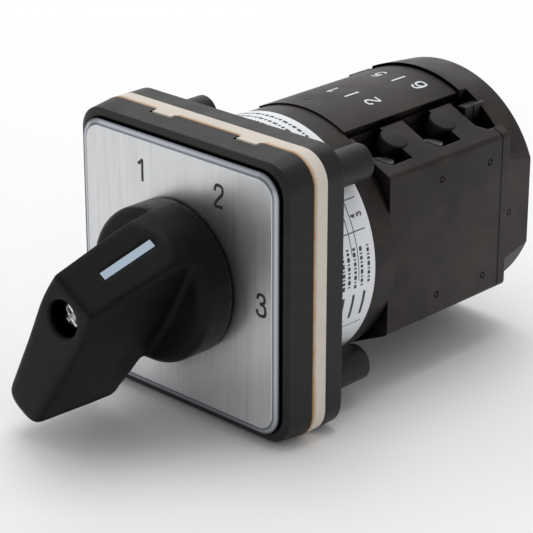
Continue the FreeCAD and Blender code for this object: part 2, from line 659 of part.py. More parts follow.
def make_knob():
    # drawn with the pointer straight up and turned before it is bored
    handle = new_body("knob_handle")
    sections = []
    levels = (
        ("front", size.knob_front, size.nose_front, size.tail_front,
         size.nose_front_width, size.waist_front_width, size.tail_front_width),
        ("back", size.collar_front, nose_back, size.tail_back,
         size.nose_back_width, size.waist_back_width, size.tail_back_width),
    )
    for name, depth, nose, tail, nose_width, waist_width, tail_width in levels:
        section = start_sketch(handle, f"handle_{name}", at=depth)
        right = ((nose_width / 2, nose), (waist_width / 2, 0), (tail_width / 2, -tail))
        corners = right + tuple((-across, up) for across, up in reversed(right))
        outline(section, corners)
        sections.append(section)
    doc.recompute()
    loft = handle.newObject("PartDesign::AdditiveLoft", "handle_loft")
    loft.Profile = sections[0]
    loft.Sections = [sections[1]]
    loft.Ruled = True
    doc.recompute()
    # the underside of the tail slopes back towards the collar
    under = start_sketch(handle, "handle_under", role="YZ_Plane")
    past = size.tail_front + 2
    outline(under, ((size.tail_under, -past), (size.collar_front + 1, -past),
                    (size.collar_front + 1, -size.collar_diameter / 2),
                    (size.collar_front, -size.collar_diameter / 2 - 1),
                    (size.tail_under, -size.tail_back)))
    pocket(handle, under, size.waist_back_width * 2, midplane=True)
    ease_handle(handle)
    # the pointer's end is cut round like the collar, and the tail stays whole
    reach = size.tail_front + 2
    bounds = fuse("handle_bounds", [
        rod("handle_round_end", size.collar_diameter, "y", size.knob_front - 1, collar_base),
        box("handle_tail_room", (-reach, reach), (size.knob_front - 1, collar_base), (-reach, 0)),
    ])
    collar = new_body("knob_collar")
    disc = start_sketch(collar, "collar_disc", at=size.collar_front)
    circle(disc, size.collar_diameter)
    pad(collar, disc, collar_base - size.collar_front)
    front = size.collar_front.value
    dress(collar, "Fillet", "collar_front_edge", "Radius", size.collar_rounding,
          lambda edge: at_depth(edge, front))
    groove = pointer_bar("pointer_groove", size.pointer_depth)
    # a foot fills the collar's rounded edge below the pointer face
    foot = new_body("knob_foot")
    plan = start_sketch(foot, "foot_plan", at=size.collar_front)
    half, waist = size.nose_back_width / 2, size.waist_back_width / 2
    outline(plan, ((half, nose_back), (waist, 0), (-waist, 0), (-half, nose_back)))
    pad(foot, plan, size.collar_rounding * 1.5)
    foot_round = rod("foot_round_end", size.collar_diameter, "y", size.knob_front, collar_base)
    pieces = [common("handle_trimmed", handle, bounds), common("foot_trimmed", foot, foot_round), collar]
    solid = fuse("knob_solid", pieces)
    grooved = cut("knob_grooved", solid, [groove])
    turned(grooved)
    # the shaft's square stays upright in the pictured position
    half = size.shaft_square / 2 + size.socket_clearance
    socket = box("knob_socket", (-half, half), (size.shaft_front, collar_base + 1), (-half, half))
    screw_hole = rod("knob_screw_hole", size.tie_hole, "y", size.knob_front, size.shaft_front + 1)
    head_hole = rod("knob_head_hole", size.head_hole, "y", size.knob_front - 1, size.head_hole_floor)
    keep(cut("knob_bored", grooved, [socket, screw_hole, head_hole]), "knob")


def ease_handle(handle):
    """Round the handle's long edges, each pair by its own radius, and then its front face."""
    front = size.knob_front.value
    pairs = (
        ("handle_waist", size.waist_rounding, -1, 1),
        ("handle_nose", size.nose_rounding, 1, size.nose_front.value + 1),
        ("handle_tail", size.tail_rounding, -size.tail_front.value - 1, -1),
    )
    for name, radius, low, high in pairs:
        dress(handle, "Fillet", name, "Radius", radius,
              lambda edge: edge.BoundBox.YLength > 5 and any(
                  abs(corner.Y - front) < 1e-3 and low < corner.Z < high for corner in edge.Vertexes))
    dress(handle, "Fillet", "handle_front", "Radius", size.handle_edge, lambda edge: at_depth(edge, front))


def pointer_bar(name, depth):
    """A bar along the pointer face, sunk by the depth given, with the pointer straight up."""
    bar = doc.addObject("Part::Box", name)
    bind(bar, "Length", size.pointer_width)
    bind(bar, "Width", size.pointer_length)
    bind(bar, "Height", depth)
    rise = (nose_back - size.nose_front).value
    run = (size.collar_front - size.knob_front).value
    slope = math.degrees(math.atan2(rise, run))
    bar.Placement = FreeCAD.Placement(vector(), FreeCAD.Rotation(vector(1, 0, 0), slope))
    reach = size.collar_diameter / 2 - size.pointer_margin - size.pointer_length * math.sin(math.radians(slope))
    start = (reach - size.nose_front) * (run / rise)
    # the bar's upper face lies in the pointer face
    sink_y = as_size(depth) * math.sin(math.radians(slope))
    sink_z = as_size(depth) * math.cos(math.radians(slope))
    move(bar, -size.pointer_width / 2, size.knob_front + start + sink_y, reach - sink_z)
    return bar


def make_pointer():
    bar = pointer_bar("pointer_inlay", size.pointer_depth)
    held = fuse("pointer_turned", [bar, pointer_bar("pointer_inlay_face", size.pointer_depth / 2)])
    turned(held)
    keep(held, "knob_pointer")


def make_knob_screw():
    seat = size.head_hole_floor
    head = rod("knob_screw_head_disc", size.knob_screw_head, "y", seat - size.knob_screw_head_height, seat)
    shank = rod("knob_screw_shank", size.knob_screw_size, "y", seat, seat + size.knob_screw_length)
    arm, reach = size.screw_slot_width / 2, size.knob_screw_head / 3
    front, floor = seat - size.knob_screw_head_height, seat - size.knob_screw_head_height / 2
    across = box("knob_screw_cross_1", (-arm, arm), (front - 1, floor), (-reach, reach))
    upright = box("knob_screw_cross_2", (-reach, reach), (front - 1, floor), (-arm, arm))
    solid = fuse("knob_screw_solid", [head, shank])
    keep(cut("knob_screw_cut", solid, [across, upright]), "knob_screw")


# Detent housing with its label, star, followers and stop

def guide_half_width():
    return size.follower_width / 2 + size.guide_gap


def make_detent_housing():
    body = new_body("detent_housing_body")
    disc = start_sketch(body, "housing_disc", at=size.plate_thickness)
    circle(disc, size.housing_diameter)
    pad(body, disc, size.housing_end - size.plate_thickness)
    inside = size.housing_diameter - size.housing_wall * 2
    well = start_sketch(body, "housing_well", at=housing_inside)
    circle(well, inside)
    pocket(body, well, size.housing_end)
    spigot = start_sketch(body, "housing_spigot", at=size.plate_thickness - size.spigot_length)
    circle(spigot, size.spigot_diameter)
    pad(body, spigot, size.spigot_length)
    bosses = start_sketch(body, "housing_insert_bosses", at=size.insert_boss_start)
    for side in (-1, 1):
        circle(bosses, size.insert_boss, size.tie_offset * side)
    pad(body, bosses, size.housing_end - size.insert_boss_start)
    webs = start_sketch(body, "housing_boss_webs", at=size.insert_boss_start)
    web, wall = size.insert_boss / 3, size.housing_diameter / 2 - size.housing_wall / 2
    for side in (-1, 1):
        middle, end = size.tie_offset * side, wall * side
        outline(webs, ((middle, -web), (end, -web), (end, web), (middle, web)))
    pad(body, webs, size.housing_end - size.insert_boss_start)
    inner, outer = guide_half_width(), guide_half_width() + size.guide_wall
    guides = start_sketch(body, "housing_guides", at=housing_inside)
    reach = size.housing_diameter / 2 - size.housing_wall / 2
    for across in ((-outer, -inner), (inner, outer)):
        for up in ((-reach, -size.guide_start), (size.guide_start, reach)):
            outline(guides, ((across[0], up[0]), (across[1], up[0]), (across[1], up[1]), (across[0], up[1])))
    pad(body, guides, size.star_front + size.star_width - housing_inside)
    inserts = start_sketch(body, "housing_insert_holes", at=size.housing_end - size.insert_length)
    for side in (-1, 1):
        circle(inserts, size.insert_diameter, size.tie_offset * side)
    pocket(body, inserts, size.insert_length)
    bolts = start_sketch(body, "housing_bolt_holes", at=size.insert_boss_start)
    for side in (-1, 1):
        circle(bolts, size.tie_hole, size.tie_offset * side)
    pocket(body, bolts, size.housing_end - size.insert_boss_start)
    front = start_sketch(body, "housing_front_holes", at=size.plate_thickness - size.spigot_length)
    circle(front, size.journal_diameter + size.journal_clearance * 2)
    pocket(body, front, size.spigot_length + size.housing_front_wall)
    small = start_sketch(body, "housing_small_holes", at=size.plate_thickness)
    for side in (-1, 1):
        circle(small, size.plate_screw_size + size.thread_clearance * 2, 0, size.plate_screw_offset * side)
        circle(small, size.stop_pin_diameter, stop_pin_x * side, stop_pin_z)
    pocket(body, small, size.housing_front_wall)
    keep(body, "detent_housing")


# the tab meets a pin when its flat side comes to the pin's edge
stop_pin_lead = size.stop_tab_width / 2 + size.stop_pin_diameter / 2 + size.stop_pin_gap
lead_ratio = stop_pin_lead / size.stop_pin_radius
lead_angle = Size(math.degrees(math.asin(lead_ratio.value)), f"(asin({lead_ratio.text}) / 1 deg)")
stop_pin_x = size.stop_pin_radius * sine(size.turn_each_way + lead_angle)
stop_pin_z = -size.stop_pin_radius * cosine(size.turn_each_way + lead_angle)


def make_stop():
    front, rear = size.stop_front, size.stop_front + size.stop_width
    hub = rod("stop_hub_disc", size.stop_hub, "y", front, rear)
    half = size.stop_tab_width / 2
    tab = box("stop_tab", (-half, half), (front, rear), (-size.stop_reach, 0))
    keep(cut("stop_disc_cut", fuse("stop_disc_solid", [hub, tab]), [square_hole("stop", front, rear)]), "stop_disc")
    pins = [
        rod(f"stop_pin_{i}", size.stop_pin_diameter, "y", size.plate_thickness, rear,
            x=stop_pin_x * side, z=stop_pin_z)
        for i, side in enumerate((-1, 1))
    ]
    keep(group("stop_pin_pair", pins), "stop_pins")


def square_hole(name, start, end):
    half = size.shaft_square / 2 + size.socket_clearance
    return box(f"{name}_square_hole", (-half, half), (start, end), (-half, half))


def make_detent_star():
    body = new_body("detent_star_body")
    disc = start_sketch(body, "star_disc", at=size.star_front)
    circle(disc, size.star_diameter)
    pad(body, disc, size.star_width)
    valley = start_sketch(body, "star_valley", at=size.star_front)
    middle = size.star_diameter / 2 - size.valley_depth + size.valley_radius
    circle(valley, size.valley_radius * 2, 0, middle)
    cutter = pocket(body, valley, size.star_width)
    pattern = body.newObject("PartDesign::PolarPattern", "star_valleys")
    pattern.Originals = [cutter]
    axis = next(f for f in body.Origin.OriginFeatures if f.Role == "Y_Axis")
    pattern.Axis = (axis, [""])
    pattern.Angle = 360
    pattern.Occurrences = 6
    body.Tip = pattern
    doc.recompute()
    hole = start_sketch(body, "star_hole", at=size.star_front)
    half = size.shaft_square / 2 + size.socket_clearance
    outline(hole, ((-half, -half), (half, -half), (half, half), (-half, half)))
    pocket(body, hole, size.star_width)
    keep(body, "detent_star")


def make_detent_follower(name, side):
    """A sprung follower above or below the star, lifted just clear of its tips."""
    nose_middle = size.star_diameter / 2 + size.follower_lift_gap + size.follower_nose
    middle = size.star_front + size.star_width / 2
    front, rear = middle - size.follower_depth / 2, middle + size.follower_depth / 2
    nose = rod(f"{name}_nose", size.follower_nose * 2, "y", front, rear, z=nose_middle * side)
    neck = box(f"{name}_neck", (-size.follower_nose, size.follower_nose), (front, rear),
               signed(side, nose_middle, size.guide_start + size.contact_travel * 2))
    half = size.follower_width / 2
    block = box(f"{name}_block", (-half, half), (front, rear),
                signed(side, size.guide_start + size.contact_travel, size.follower_end))
    seat = rod(f"{name}_seat", spring_outside + size.guide_gap * 2, "z",
               *signed(side, size.follower_end - size.spring_seat_depth, size.follower_end), y=middle)
    keep(cut(f"{name}_cut", fuse(f"{name}_solid", [nose, neck, block]), [seat]), name)


def signed(side, low, high):
    """The span from low to high above the axis, or its mirror image below."""
    return (as_size(low), as_size(high)) if side > 0 else (-as_size(high), -as_size(low))


spring_outside = size.spring_diameter + size.spring_wire


def make_spring(name, turns, y, side, low, high):
    """A coil of square wire between two distances from the shaft axis."""
    wire = size.spring_wire.value
    radius = size.spring_diameter.value / 2
    bottom = low.value + size.spring_end_gap.value + wire / 2
    height = high.value - size.spring_end_gap.value - wire / 2 - bottom
    coil = Part.makeHelix(height / turns.value, height, radius)
    corners = [vector(radius + wire / 2 * a, 0, wire / 2 * b)
               for a, b in ((-1, -1), (1, -1), (1, 1), (-1, 1), (-1, -1))]
    section = Part.makePolygon(corners)
    spring = doc.addObject("Part::Feature", f"{name}_coil")
    spring.Shape = Part.Wire(coil.Edges).makePipeShell([section], True, True)
    spring.Placement = FreeCAD.Placement(
        vector(0, as_size(y).value, side * bottom), FreeCAD.Rotation(vector(0, 1, 0), 0 if side > 0 else 180))
    keep(spring, name)


def make_label():
    start, end = size.label_start, size.label_end
    outer = rod("label_outer", size.housing_diameter + size.label_thickness * 2, "y", start, end)
    inner = rod("label_inner", size.housing_diameter, "y", start, end)
    bind(outer, "Angle", size.label_wrap)
    # the two ends of the label meet at the bottom
    half_gap = (360 - size.label_wrap) / 2
    turn = FreeCAD.Rotation(vector(0, 1, 0), 90 - half_gap.value)
    outer.Placement.Rotation = turn.multiply(FreeCAD.Rotation(vector(1, 0, 0), -90))
    keep(cut("label_band", outer, [inner]), "rating_label")


def make_plate_screws():
    solids = []
    for i, side in enumerate((-1, 1)):
        z = size.plate_screw_offset * side
        head = taper(f"plate_screw_head_{i}", size.plate_screw_head, size.plate_screw_size,
                     0.1, size.plate_screw_head_height, z=z)
        shank = rod(f"plate_screw_shank_{i}", size.plate_screw_size, "y",
                    size.plate_screw_head_height, size.plate_screw_end, z=z)
        half = size.screw_slot_width / 2
        reach = size.plate_screw_head
        slot = box(f"plate_screw_slot_{i}", (-reach, reach), (-1, size.plate_screw_head_height / 2),
                   (z - half, z + half))
        solids.append(cut(f"plate_screw_{i}", fuse(f"plate_screw_solid_{i}", [head, shank]), [slot]))
    keep(group("plate_screw_pair", solids), "plate_screws")


# Contact housing, terminal covers and end cap

def block_outline(sketch):
    """The housing's section: two upright sides, sloping shelves and a groove beside each roof."""
    quarter = (
        (size.block_half_width, size.block_side_half),
        (size.shelf_inner, size.shelf_top),
        (size.shelf_inner, size.groove_floor),
    )
    top = quarter + tuple((-across, up) for across, up in reversed(quarter))
    bottom = tuple((across, -up) for across, up in reversed(top))
    outline(sketch, top + bottom)


def round_outer_edges(body, name):
    """Ease the four long edges where the sides meet the shelves."""
    side = size.block_half_width.value
    dress(body, "Fillet", name, "Radius", size.block_corner,
          lambda edge: edge.BoundBox.XLength < 1e-4 and abs(abs(edge.BoundBox.XMin) - side) < 1e-4
          and edge.BoundBox.YLength > 0.5)


def make_contact_housing():
    block = new_body("contact_housing_block")
    section = start_sketch(block, "block_section", at=block_front)
    block_outline(section)
    pad(block, section, size.block_length)
    round_outer_edges(block, "block_corners")
    roof_radius = size.cover_radius - size.cover_thickness - size.cover_roof_gap
    half = size.roof_half_width
    roof = common("roof", rod("roof_round", roof_radius * 2, "y", block_front, block_rear),
                  box("roof_sides", (-half, half), (block_front, block_rear), (-roof_radius, roof_radius)))
    bosses, cuts = [], []
    for stage in (0, 1):
        start = stage_start(stage)
        middle = start + size.stage_middle
        for side in (-1, 1):
            level = "upper" if side > 0 else "lower"
            cuts.append(box(f"chamber_{level}_{stage}", (-size.chamber_half_width, size.chamber_half_width),
                            (middle - size.chamber_half_depth, middle + size.chamber_half_depth),
                            signed(side, strip_floor, size.cover_radius)))
            for hand in (-1, 1):
                name = f"{level}_{'right' if hand > 0 else 'left'}_{stage}"
                cuts += terminal_pocket(name, start, middle, side, hand)
                bosses.append(guide_boss(name, start, side, hand))
    for side in (-1, 1):
        for hand in (-1, 1):
            cuts.append(pocket_room(f"rear_{side}_{hand}", stage_start(2), block_rear + 1,
                                    size.recess_floor, side, hand))
    well = rod("cam_well_round", size.cam_well, "y", block_front + size.block_front_wall, block_rear + 1)
    shaft_hole = rod("block_shaft_hole", size.journal_diameter + size.knob_gap, "y", block_front - 1, block_rear)
    bolts = [rod(f"block_bolt_{i}", size.tie_hole, "y", block_front - 1, block_rear + 1, x=size.tie_offset * hand)
             for i, hand in enumerate((-1, 1))]
    # the bosses stand in the pockets, so they are added after the cuts
    hollow = cut("contact_housing_hollow", fuse("contact_housing_solid", [block, roof]),
                 cuts + [well, shaft_hole] + bolts)
    wells = [
        rod(f"screw_well_{stage}_{hand}_{side}", size.screw_well, "z",
            *signed(side, size.pocket_floor - size.terminal_screw_length, size.pocket_floor + 1),
            x=size.terminal_screw_x * hand, y=stage_start(stage) + size.stage_middle)
        for stage in (0, 1) for hand in (-1, 1) for side in (-1, 1)
    ]
    bored = cut("contact_housing_bored", hollow, wells)
    keep(fuse("contact_housing_whole", [bored] + bosses), "contact_housing")


strip_floor = (size.bridge_height - size.contact_travel - size.closed_gap
               - size.button_height * 2 - size.strip_thickness)


def pocket_room(name, start, rear, floor, side, hand):
    """The room of a pocket, whose front wall slants near its outer end."""
    body = new_body(f"pocket_{name}")
    inner, outer = size.pocket_inner * hand, size.pocket_outer * hand
    turn = size.pocket_wall_turn * hand
    near, far = start + size.pocket_wall_inner, start + size.pocket_wall_outer
    plan = start_sketch(body, f"pocket_plan_{name}", role="XY_Plane", at=floor)
    outline(plan, ((inner, near), (turn, near), (outer, far), (outer, rear), (inner, rear)))
    pad(body, plan, size.cover_radius - floor, towards_rear=False)
    if side < 0:
        # turning the room over also swaps left and right, which the loop over both hands makes good
        body.Placement = FreeCAD.Placement(vector(), FreeCAD.Rotation(vector(0, 1, 0), 180))
    return body


def terminal_pocket(name, start, middle, side, hand):
    """The pocket of one terminal and the slot that leads its strip to the contact chamber."""
    room = pocket_room(name, start, start + size.pocket_rear, size.pocket_floor, side, hand)
    reach = signed(hand, size.chamber_half_width - 1, size.pocket_inner + 1)
    half = size.strip_width / 2 + size.slot_gap
    slot = box(f"slot_{name}", reach, (middle - half, middle + half),
               signed(side, strip_floor, size.pocket_floor + size.strip_thickness * 2))
    return [room, slot]


def shelf_slope():
    rise = size.shelf_top - size.block_side_half
    run = size.block_half_width - size.shelf_inner
    return rise, run


def guide_boss(name, start, side, hand):
    """A round boss that stands square to the shelf at the rear wall of a pocket."""
    rise, run = (amount.value for amount in shelf_slope())
    slope = math.degrees(math.atan2(rise, run))
    boss = doc.addObject("Part::Cylinder", f"guide_boss_{name}")
    bind(boss, "Radius", size.guide_boss / 2)
    bind(boss, "Height", size.guide_boss_length)
    height = size.block_side_half.value + (size.block_half_width.value - size.guide_boss_x.value) * rise / run
    lean = math.radians(slope)
    length = size.guide_boss_length.value
    base = vector(hand * (size.guide_boss_x.value - length * math.sin(lean)),
                  (start + size.guide_boss_y).value, side * (height - length * math.cos(lean)))
    tilt = slope if side > 0 else 180 - slope
    boss.Placement = FreeCAD.Placement(base, FreeCAD.Rotation(vector(0, 1, 0), hand * tilt))
    return boss


def make_cover(name, side):
    """A curved cover that closes the contact chambers above or below."""
    outer = rod(f"{name}_outer", size.cover_radius * 2, "y", block_front, block_rear)
    inner = rod(f"{name}_inner", (size.cover_radius - size.cover_thickness) * 2, "y", block_front, block_rear)
    bind(outer, "Angle", size.cover_half_angle * 2)
    # the round bar's angle starts at +X and runs towards -Z once it lies along the shaft
    start = -90 - size.cover_half_angle.value if side > 0 else 90 - size.cover_half_angle.value
    turn = FreeCAD.Rotation(vector(0, 1, 0), start)
    outer.Placement.Rotation = turn.multiply(FreeCAD.Rotation(vector(1, 0, 0), -90))
    keep(cut(f"{name}_band", outer, [inner]), name)


def make_end_cap():
    flange = new_body("end_cap_flange")
    section = start_sketch(flange, "cap_section", at=block_rear)
    block_outline(section)
    pad(flange, section, size.cap_flange)
    round_outer_edges(flange, "cap_corners")
    dome = common("cap_dome", taper("cap_round", size.cap_radius * 2, size.cap_rear_radius * 2, block_rear, cap_rear),
                  box("cap_sides", (-size.block_half_width, size.block_half_width), (block_rear, cap_rear),
                      (-size.cap_radius, size.cap_radius)))
    doc.recompute()
    eased = doc.addObject("Part::Fillet", "cap_eased")
    eased.Base = dome
    radius = size.cap_edge.value
    eased.Edges = [(i, radius, radius) for i, edge in enumerate(dome.Shape.Edges, start=1)
                   if at_depth(edge, cap_rear.value)]
    recesses, tabs = [], []
    for side in (-1, 1):
        for hand in (-1, 1):
            name = f"{'upper' if side > 0 else 'lower'}_{'right' if hand > 0 else 'left'}"
            recesses.append(box(f"cap_recess_{name}", signed(hand, size.pocket_inner, size.pocket_outer),
                                (block_rear - 1, block_rear + size.cap_flange),
                                signed(side, size.recess_floor, size.cap_radius + 1)))
            middle = size.cap_tab_x * hand
            tabs.append(box(f"cap_tab_{name}", (middle - size.cap_tab_width / 2, middle + size.cap_tab_width / 2),
                            (block_rear - size.cap_tab_length, block_rear + size.cap_flange + 1),
                            signed(side, size.recess_floor + 1, size.shelf_top - 0.4)))
    solid = fuse("cap_solid", [cut("cap_recessed", fuse("cap_whole", [flange, eased]), recesses)] + tabs)
    well = rod("cap_well_round", size.cap_well, "y", block_rear - 1, block_rear + size.cap_well_depth)
    bearing = rod("cap_bearing", size.rear_journal_diameter + size.journal_clearance * 2, "y", block_rear,
                  size.shaft_square_end + size.rear_journal_length + 0.5)
    tools = [well, bearing]
    for i, hand in enumerate((-1, 1)):
        x = size.tie_offset * hand
        tools.append(rod(f"cap_bolt_{i}", size.tie_hole, "y", block_rear - 1, cap_rear + 1, x=x))
        tools.append(rod(f"cap_head_hole_{i}", size.tie_head_hole, "y", cap_rear - size.tie_head_height - 0.3,
                         cap_rear + 1, x=x))
    keep(cut("end_cap_cut", solid, tools), "end_cap")


def make_tie_bolts():
    solids, inserts = [], []
    seat = cap_rear - size.tie_head_height - 0.3
    for i, hand in enumerate((-1, 1)):
        x = size.tie_offset * hand
        head = rod(f"tie_head_{i}", size.tie_head, "y", seat, seat + size.tie_head_height, x=x)
        shank = rod(f"tie_shank_{i}", size.tie_diameter, "y", size.tie_front, seat, x=x)
        arm, reach = size.screw_slot_width / 2, size.tie_head / 3
        floor = seat + size.tie_head_height / 2
        across = box(f"tie_cross_a_{i}", (x - arm, x + arm), (floor, cap_rear), (-reach, reach))
        upright = box(f"tie_cross_b_{i}", (x - reach, x + reach), (floor, cap_rear), (-arm, arm))
        solids.append(cut(f"tie_bolt_{i}", fuse(f"tie_bolt_solid_{i}", [head, shank]), [across, upright]))
        start = size.housing_end - size.insert_length
        sleeve = rod(f"insert_sleeve_{i}", size.insert_diameter, "y", start, size.housing_end, x=x)
        bore = rod(f"insert_bore_{i}", size.tie_diameter + size.thread_clearance * 2, "y",
                   start, size.housing_end, x=x)
        inserts.append(cut(f"insert_{i}", sleeve, [bore]))
    keep(group("tie_bolt_pair", solids), "tie_bolts")
    keep(group("insert_pair", inserts), "threaded_inserts")


# Cams, plungers, contact bridges and terminals

def make_cam(name, stage):
    """A cam disc: a rising spiral for the upper plunger and a falling one for the lower."""
    rate = size.contact_travel.value / size.turn_each_way.value
    reach = size.turn_each_way.value + size.cam_overrun.value
    middle_radius = size.cam_radius.value
    direction = 1 if stage == 0 else -1

    def point(angle, radius):
        # angles run clockwise from straight up, seen from the front
        turn = math.radians(angle)
        return vector(radius * math.sin(turn), 0, radius * math.cos(turn))

    def spiral(centre, sign):
        curve = Part.BSplineCurve()
        angles = [centre + reach * k / 6 for k in range(-6, 7)]
        curve.interpolate([point(a, middle_radius - sign * rate * (a - centre)) for a in angles])
        return curve.toShape()

    small, large = middle_radius - rate * reach, middle_radius + rate * reach
    upper, lower = spiral(0, direction), spiral(180, -direction)
    ends = (small, large) if direction > 0 else (large, small)
    right = Part.Arc(point(reach, ends[0]), point(90, ends[0]), point(180 - reach, ends[0])).toShape()
    left = Part.Arc(point(180 + reach, ends[1]), point(270, ends[1]), point(360 - reach, ends[1])).toShape()
    wire = Part.Wire([upper, right, lower, left])
    middle = (stage_start(stage) + size.stage_middle).value
    width = size.cam_width.value
    disc = Part.Face(wire).extrude(vector(0, width, 0))
    hub = Part.makeCylinder(size.cam_hub.value / 2, size.stage_pitch.value - size.slot_gap.value * 2,
                            vector(), vector(0, 1, 0))
    half = size.shaft_square.value / 2 + size.socket_clearance.value
    length = size.stage_pitch.value
    hole = Part.makeBox(2 * half, length + 2, 2 * half, vector(-half, -1, -half))
    cam = doc.addObject("Part::Feature", f"{name}_shape")
    cam.Shape = disc.fuse(hub).cut(hole).removeSplitter()
    cam.Placement = FreeCAD.Placement(vector(0, middle - width / 2, 0), FreeCAD.Rotation())
    keep(cam, name)


def make_plunger(pair, y, side):
    """A plunger that the cam lifts against the contact spring, with its contact bridge."""
    foot_middle = size.cam_radius + size.plunger_gap + size.plunger_foot
    front, rear = y - size.plunger_depth / 2, y + size.plunger_depth / 2
    half = size.plunger_width / 2
    foot = rod(f"foot_{pair}", size.plunger_foot * 2, "y", front, rear, z=foot_middle * side)
    neck = box(f"neck_{pair}", (-size.plunger_foot, size.plunger_foot), (front, rear),
               signed(side, foot_middle, size.bridge_height))
    bottom, top = size.bridge_height, size.bridge_height + size.bridge_thickness
    stem = box(f"stem_{pair}", (-half, half), (front, rear),
               signed(side, foot_middle + size.plunger_foot, top + size.plunger_head))
    window = box(f"window_{pair}", (-half - 1, half + 1),
                 (y - size.bridge_width / 2 + 0.6, y + size.bridge_width / 2 - 0.6), signed(side, bottom, top))
    keep(cut(f"plunger_cut_{pair}", fuse(f"plunger_solid_{pair}", [foot, neck, stem]), [window]),
         f"plunger_{pair}")
    reach = size.bridge_half_length
    waist = size.bridge_width / 2 - 0.7
    bar = [box(f"bar_{pair}", (-reach, reach), (y - waist, y + waist), signed(side, bottom, top))]
    for hand in (-1, 1):
        inner = half + size.guide_gap
        wide = box(f"wing_{pair}_{hand}", signed(hand, inner, reach),
                   (y - size.bridge_width / 2, y + size.bridge_width / 2), signed(side, bottom, top))
        button = rod(f"bridge_button_{pair}_{hand}", size.button_diameter, "z",
                     *signed(side, bottom - size.button_height, bottom), x=size.button_offset * hand, y=y)
        bar += [wide, button]
    keep(fuse(f"bridge_fused_{pair}", bar), f"contact_bridge_{pair}")
    make_spring(f"contact_spring_{pair}", size.contact_spring_turns, y, side, top + size.plunger_head,
                size.cover_radius - size.cover_thickness)


def make_terminal(number, y, side, hand):
    """A stepped strip from the contact chamber to the clamp seat in the pocket."""
    name = f"terminal_{number}"
    front, rear = y - size.strip_width / 2, y + size.strip_width / 2
    low = (strip_floor, strip_floor + size.strip_thickness)
    high = (size.pocket_floor, size.pocket_floor + size.strip_thickness)
    inner = box(f"{name}_inner", signed(hand, size.strip_inner, size.strip_step), (front, rear), signed(side, *low))
    riser = box(f"{name}_riser", signed(hand, size.strip_step - size.strip_thickness, size.strip_step),
                (front, rear), signed(side, low[0], high[1]))
    outer = box(f"{name}_outer", signed(hand, size.strip_step - size.strip_thickness, size.strip_outer),
                (front, rear), signed(side, *high))
    button = rod(f"{name}_button", size.button_diameter, "z", *signed(side, low[1], low[1] + size.button_height),
                 x=size.button_offset * hand, y=y)
    hole = rod(f"{name}_hole", size.terminal_screw_size + size.thread_clearance * 2, "z",
               *signed(side, high[0] - 1, high[1] + 1), x=size.terminal_screw_x * hand, y=y)
    keep(cut(f"{name}_cut", fuse(f"{name}_solid", [inner, riser, outer, button]), [hole]), name)


def make_clamp(name, y, side, hand):
    """A square clamp with its two lips turned up, under a terminal screw's head."""
    x = size.terminal_screw_x * hand
    half = size.clamp_width / 2
    span = (y - size.clamp_depth / 2, y + size.clamp_depth / 2)
    seat = size.pocket_floor + size.strip_thickness
    top = seat + size.clamp_thickness
    plate = box(f"clamp_plate_{name}", (x - half, x + half), span, signed(side, seat, top))
    lips = []
    lip = size.clamp_lip_thickness
    for i, (low, high) in enumerate(((-half, -half + lip), (half - lip, half))):
        lips.append(box(f"clamp_lip_{name}_{i}", (x + low, x + high), span,
                        signed(side, seat, top + size.clamp_lip)))
    hole = rod(f"clamp_hole_{name}", size.terminal_screw_size + size.thread_clearance * 2, "z",
               *signed(side, seat - 1, top + 1), x=x, y=y)
    return cut(f"clamp_{name}", fuse(f"clamp_solid_{name}", [plate] + lips), [hole])


def make_terminal_screw(name, y, side, hand):
    x = size.terminal_screw_x * hand
    seat = size.pocket_floor + size.strip_thickness + size.clamp_thickness
    top = seat + size.terminal_screw_head_height
    # the head sits between the clamp's lips
    head = rod(f"screw_head_{name}", size.terminal_screw_head, "z",
               *signed(side, seat, top), x=x, y=y)
    shank = rod(f"screw_shank_{name}", size.terminal_screw_size, "z",
                *signed(side, seat - size.terminal_screw_length, seat), x=x, y=y)
    half, reach = size.screw_slot_width / 2, size.terminal_screw_head
    slot = box(f"screw_slot_{name}", (x - reach, x + reach), (y - half, y + half),
               signed(side, top - size.screw_slot_depth, top + 1))
    return cut(f"screw_{name}", fuse(f"screw_solid_{name}", [head, shank]), [slot])


def make_contacts():
    screws, clamps = [], []
    for stage in (0, 1):
        y = stage_start(stage) + size.stage_middle
        make_cam(f"cam_{stage + 1}", stage)
        for side in (1, -1):
            odd = 1 + 4 * stage + (0 if side > 0 else 2)
            make_plunger(f"{odd}_{odd + 1}", y, side)
            for number, hand in ((odd, -1), (odd + 1, 1)):
                make_terminal(number, y, side, hand)
                clamps.append(make_clamp(number, y, side, hand))
                screws.append(make_terminal_screw(number, y, side, hand))
    keep(group("terminal_screw_set", screws), "terminal_screws")
    keep(group("terminal_clamp_set", clamps), "terminal_clamps")


def write_steps():
    """Stop if anything failed, and write each sub-part to its file."""
    doc.recompute()
    for thing in doc.Objects:
        if "Invalid" in thing.State or "Error" in thing.State:
            raise RuntimeError(f"{thing.Name} failed: {thing.State}")
    os.makedirs("parts", exist_ok=True)
    for thing in sub_parts:
        shape = thing.Shape
        if shape.isNull() or not shape.isValid() or not shape.Solids:
            raise RuntimeError(f"{thing.Label} has no valid shape")
        shape.exportStep(f"parts/{thing.Label}.step")


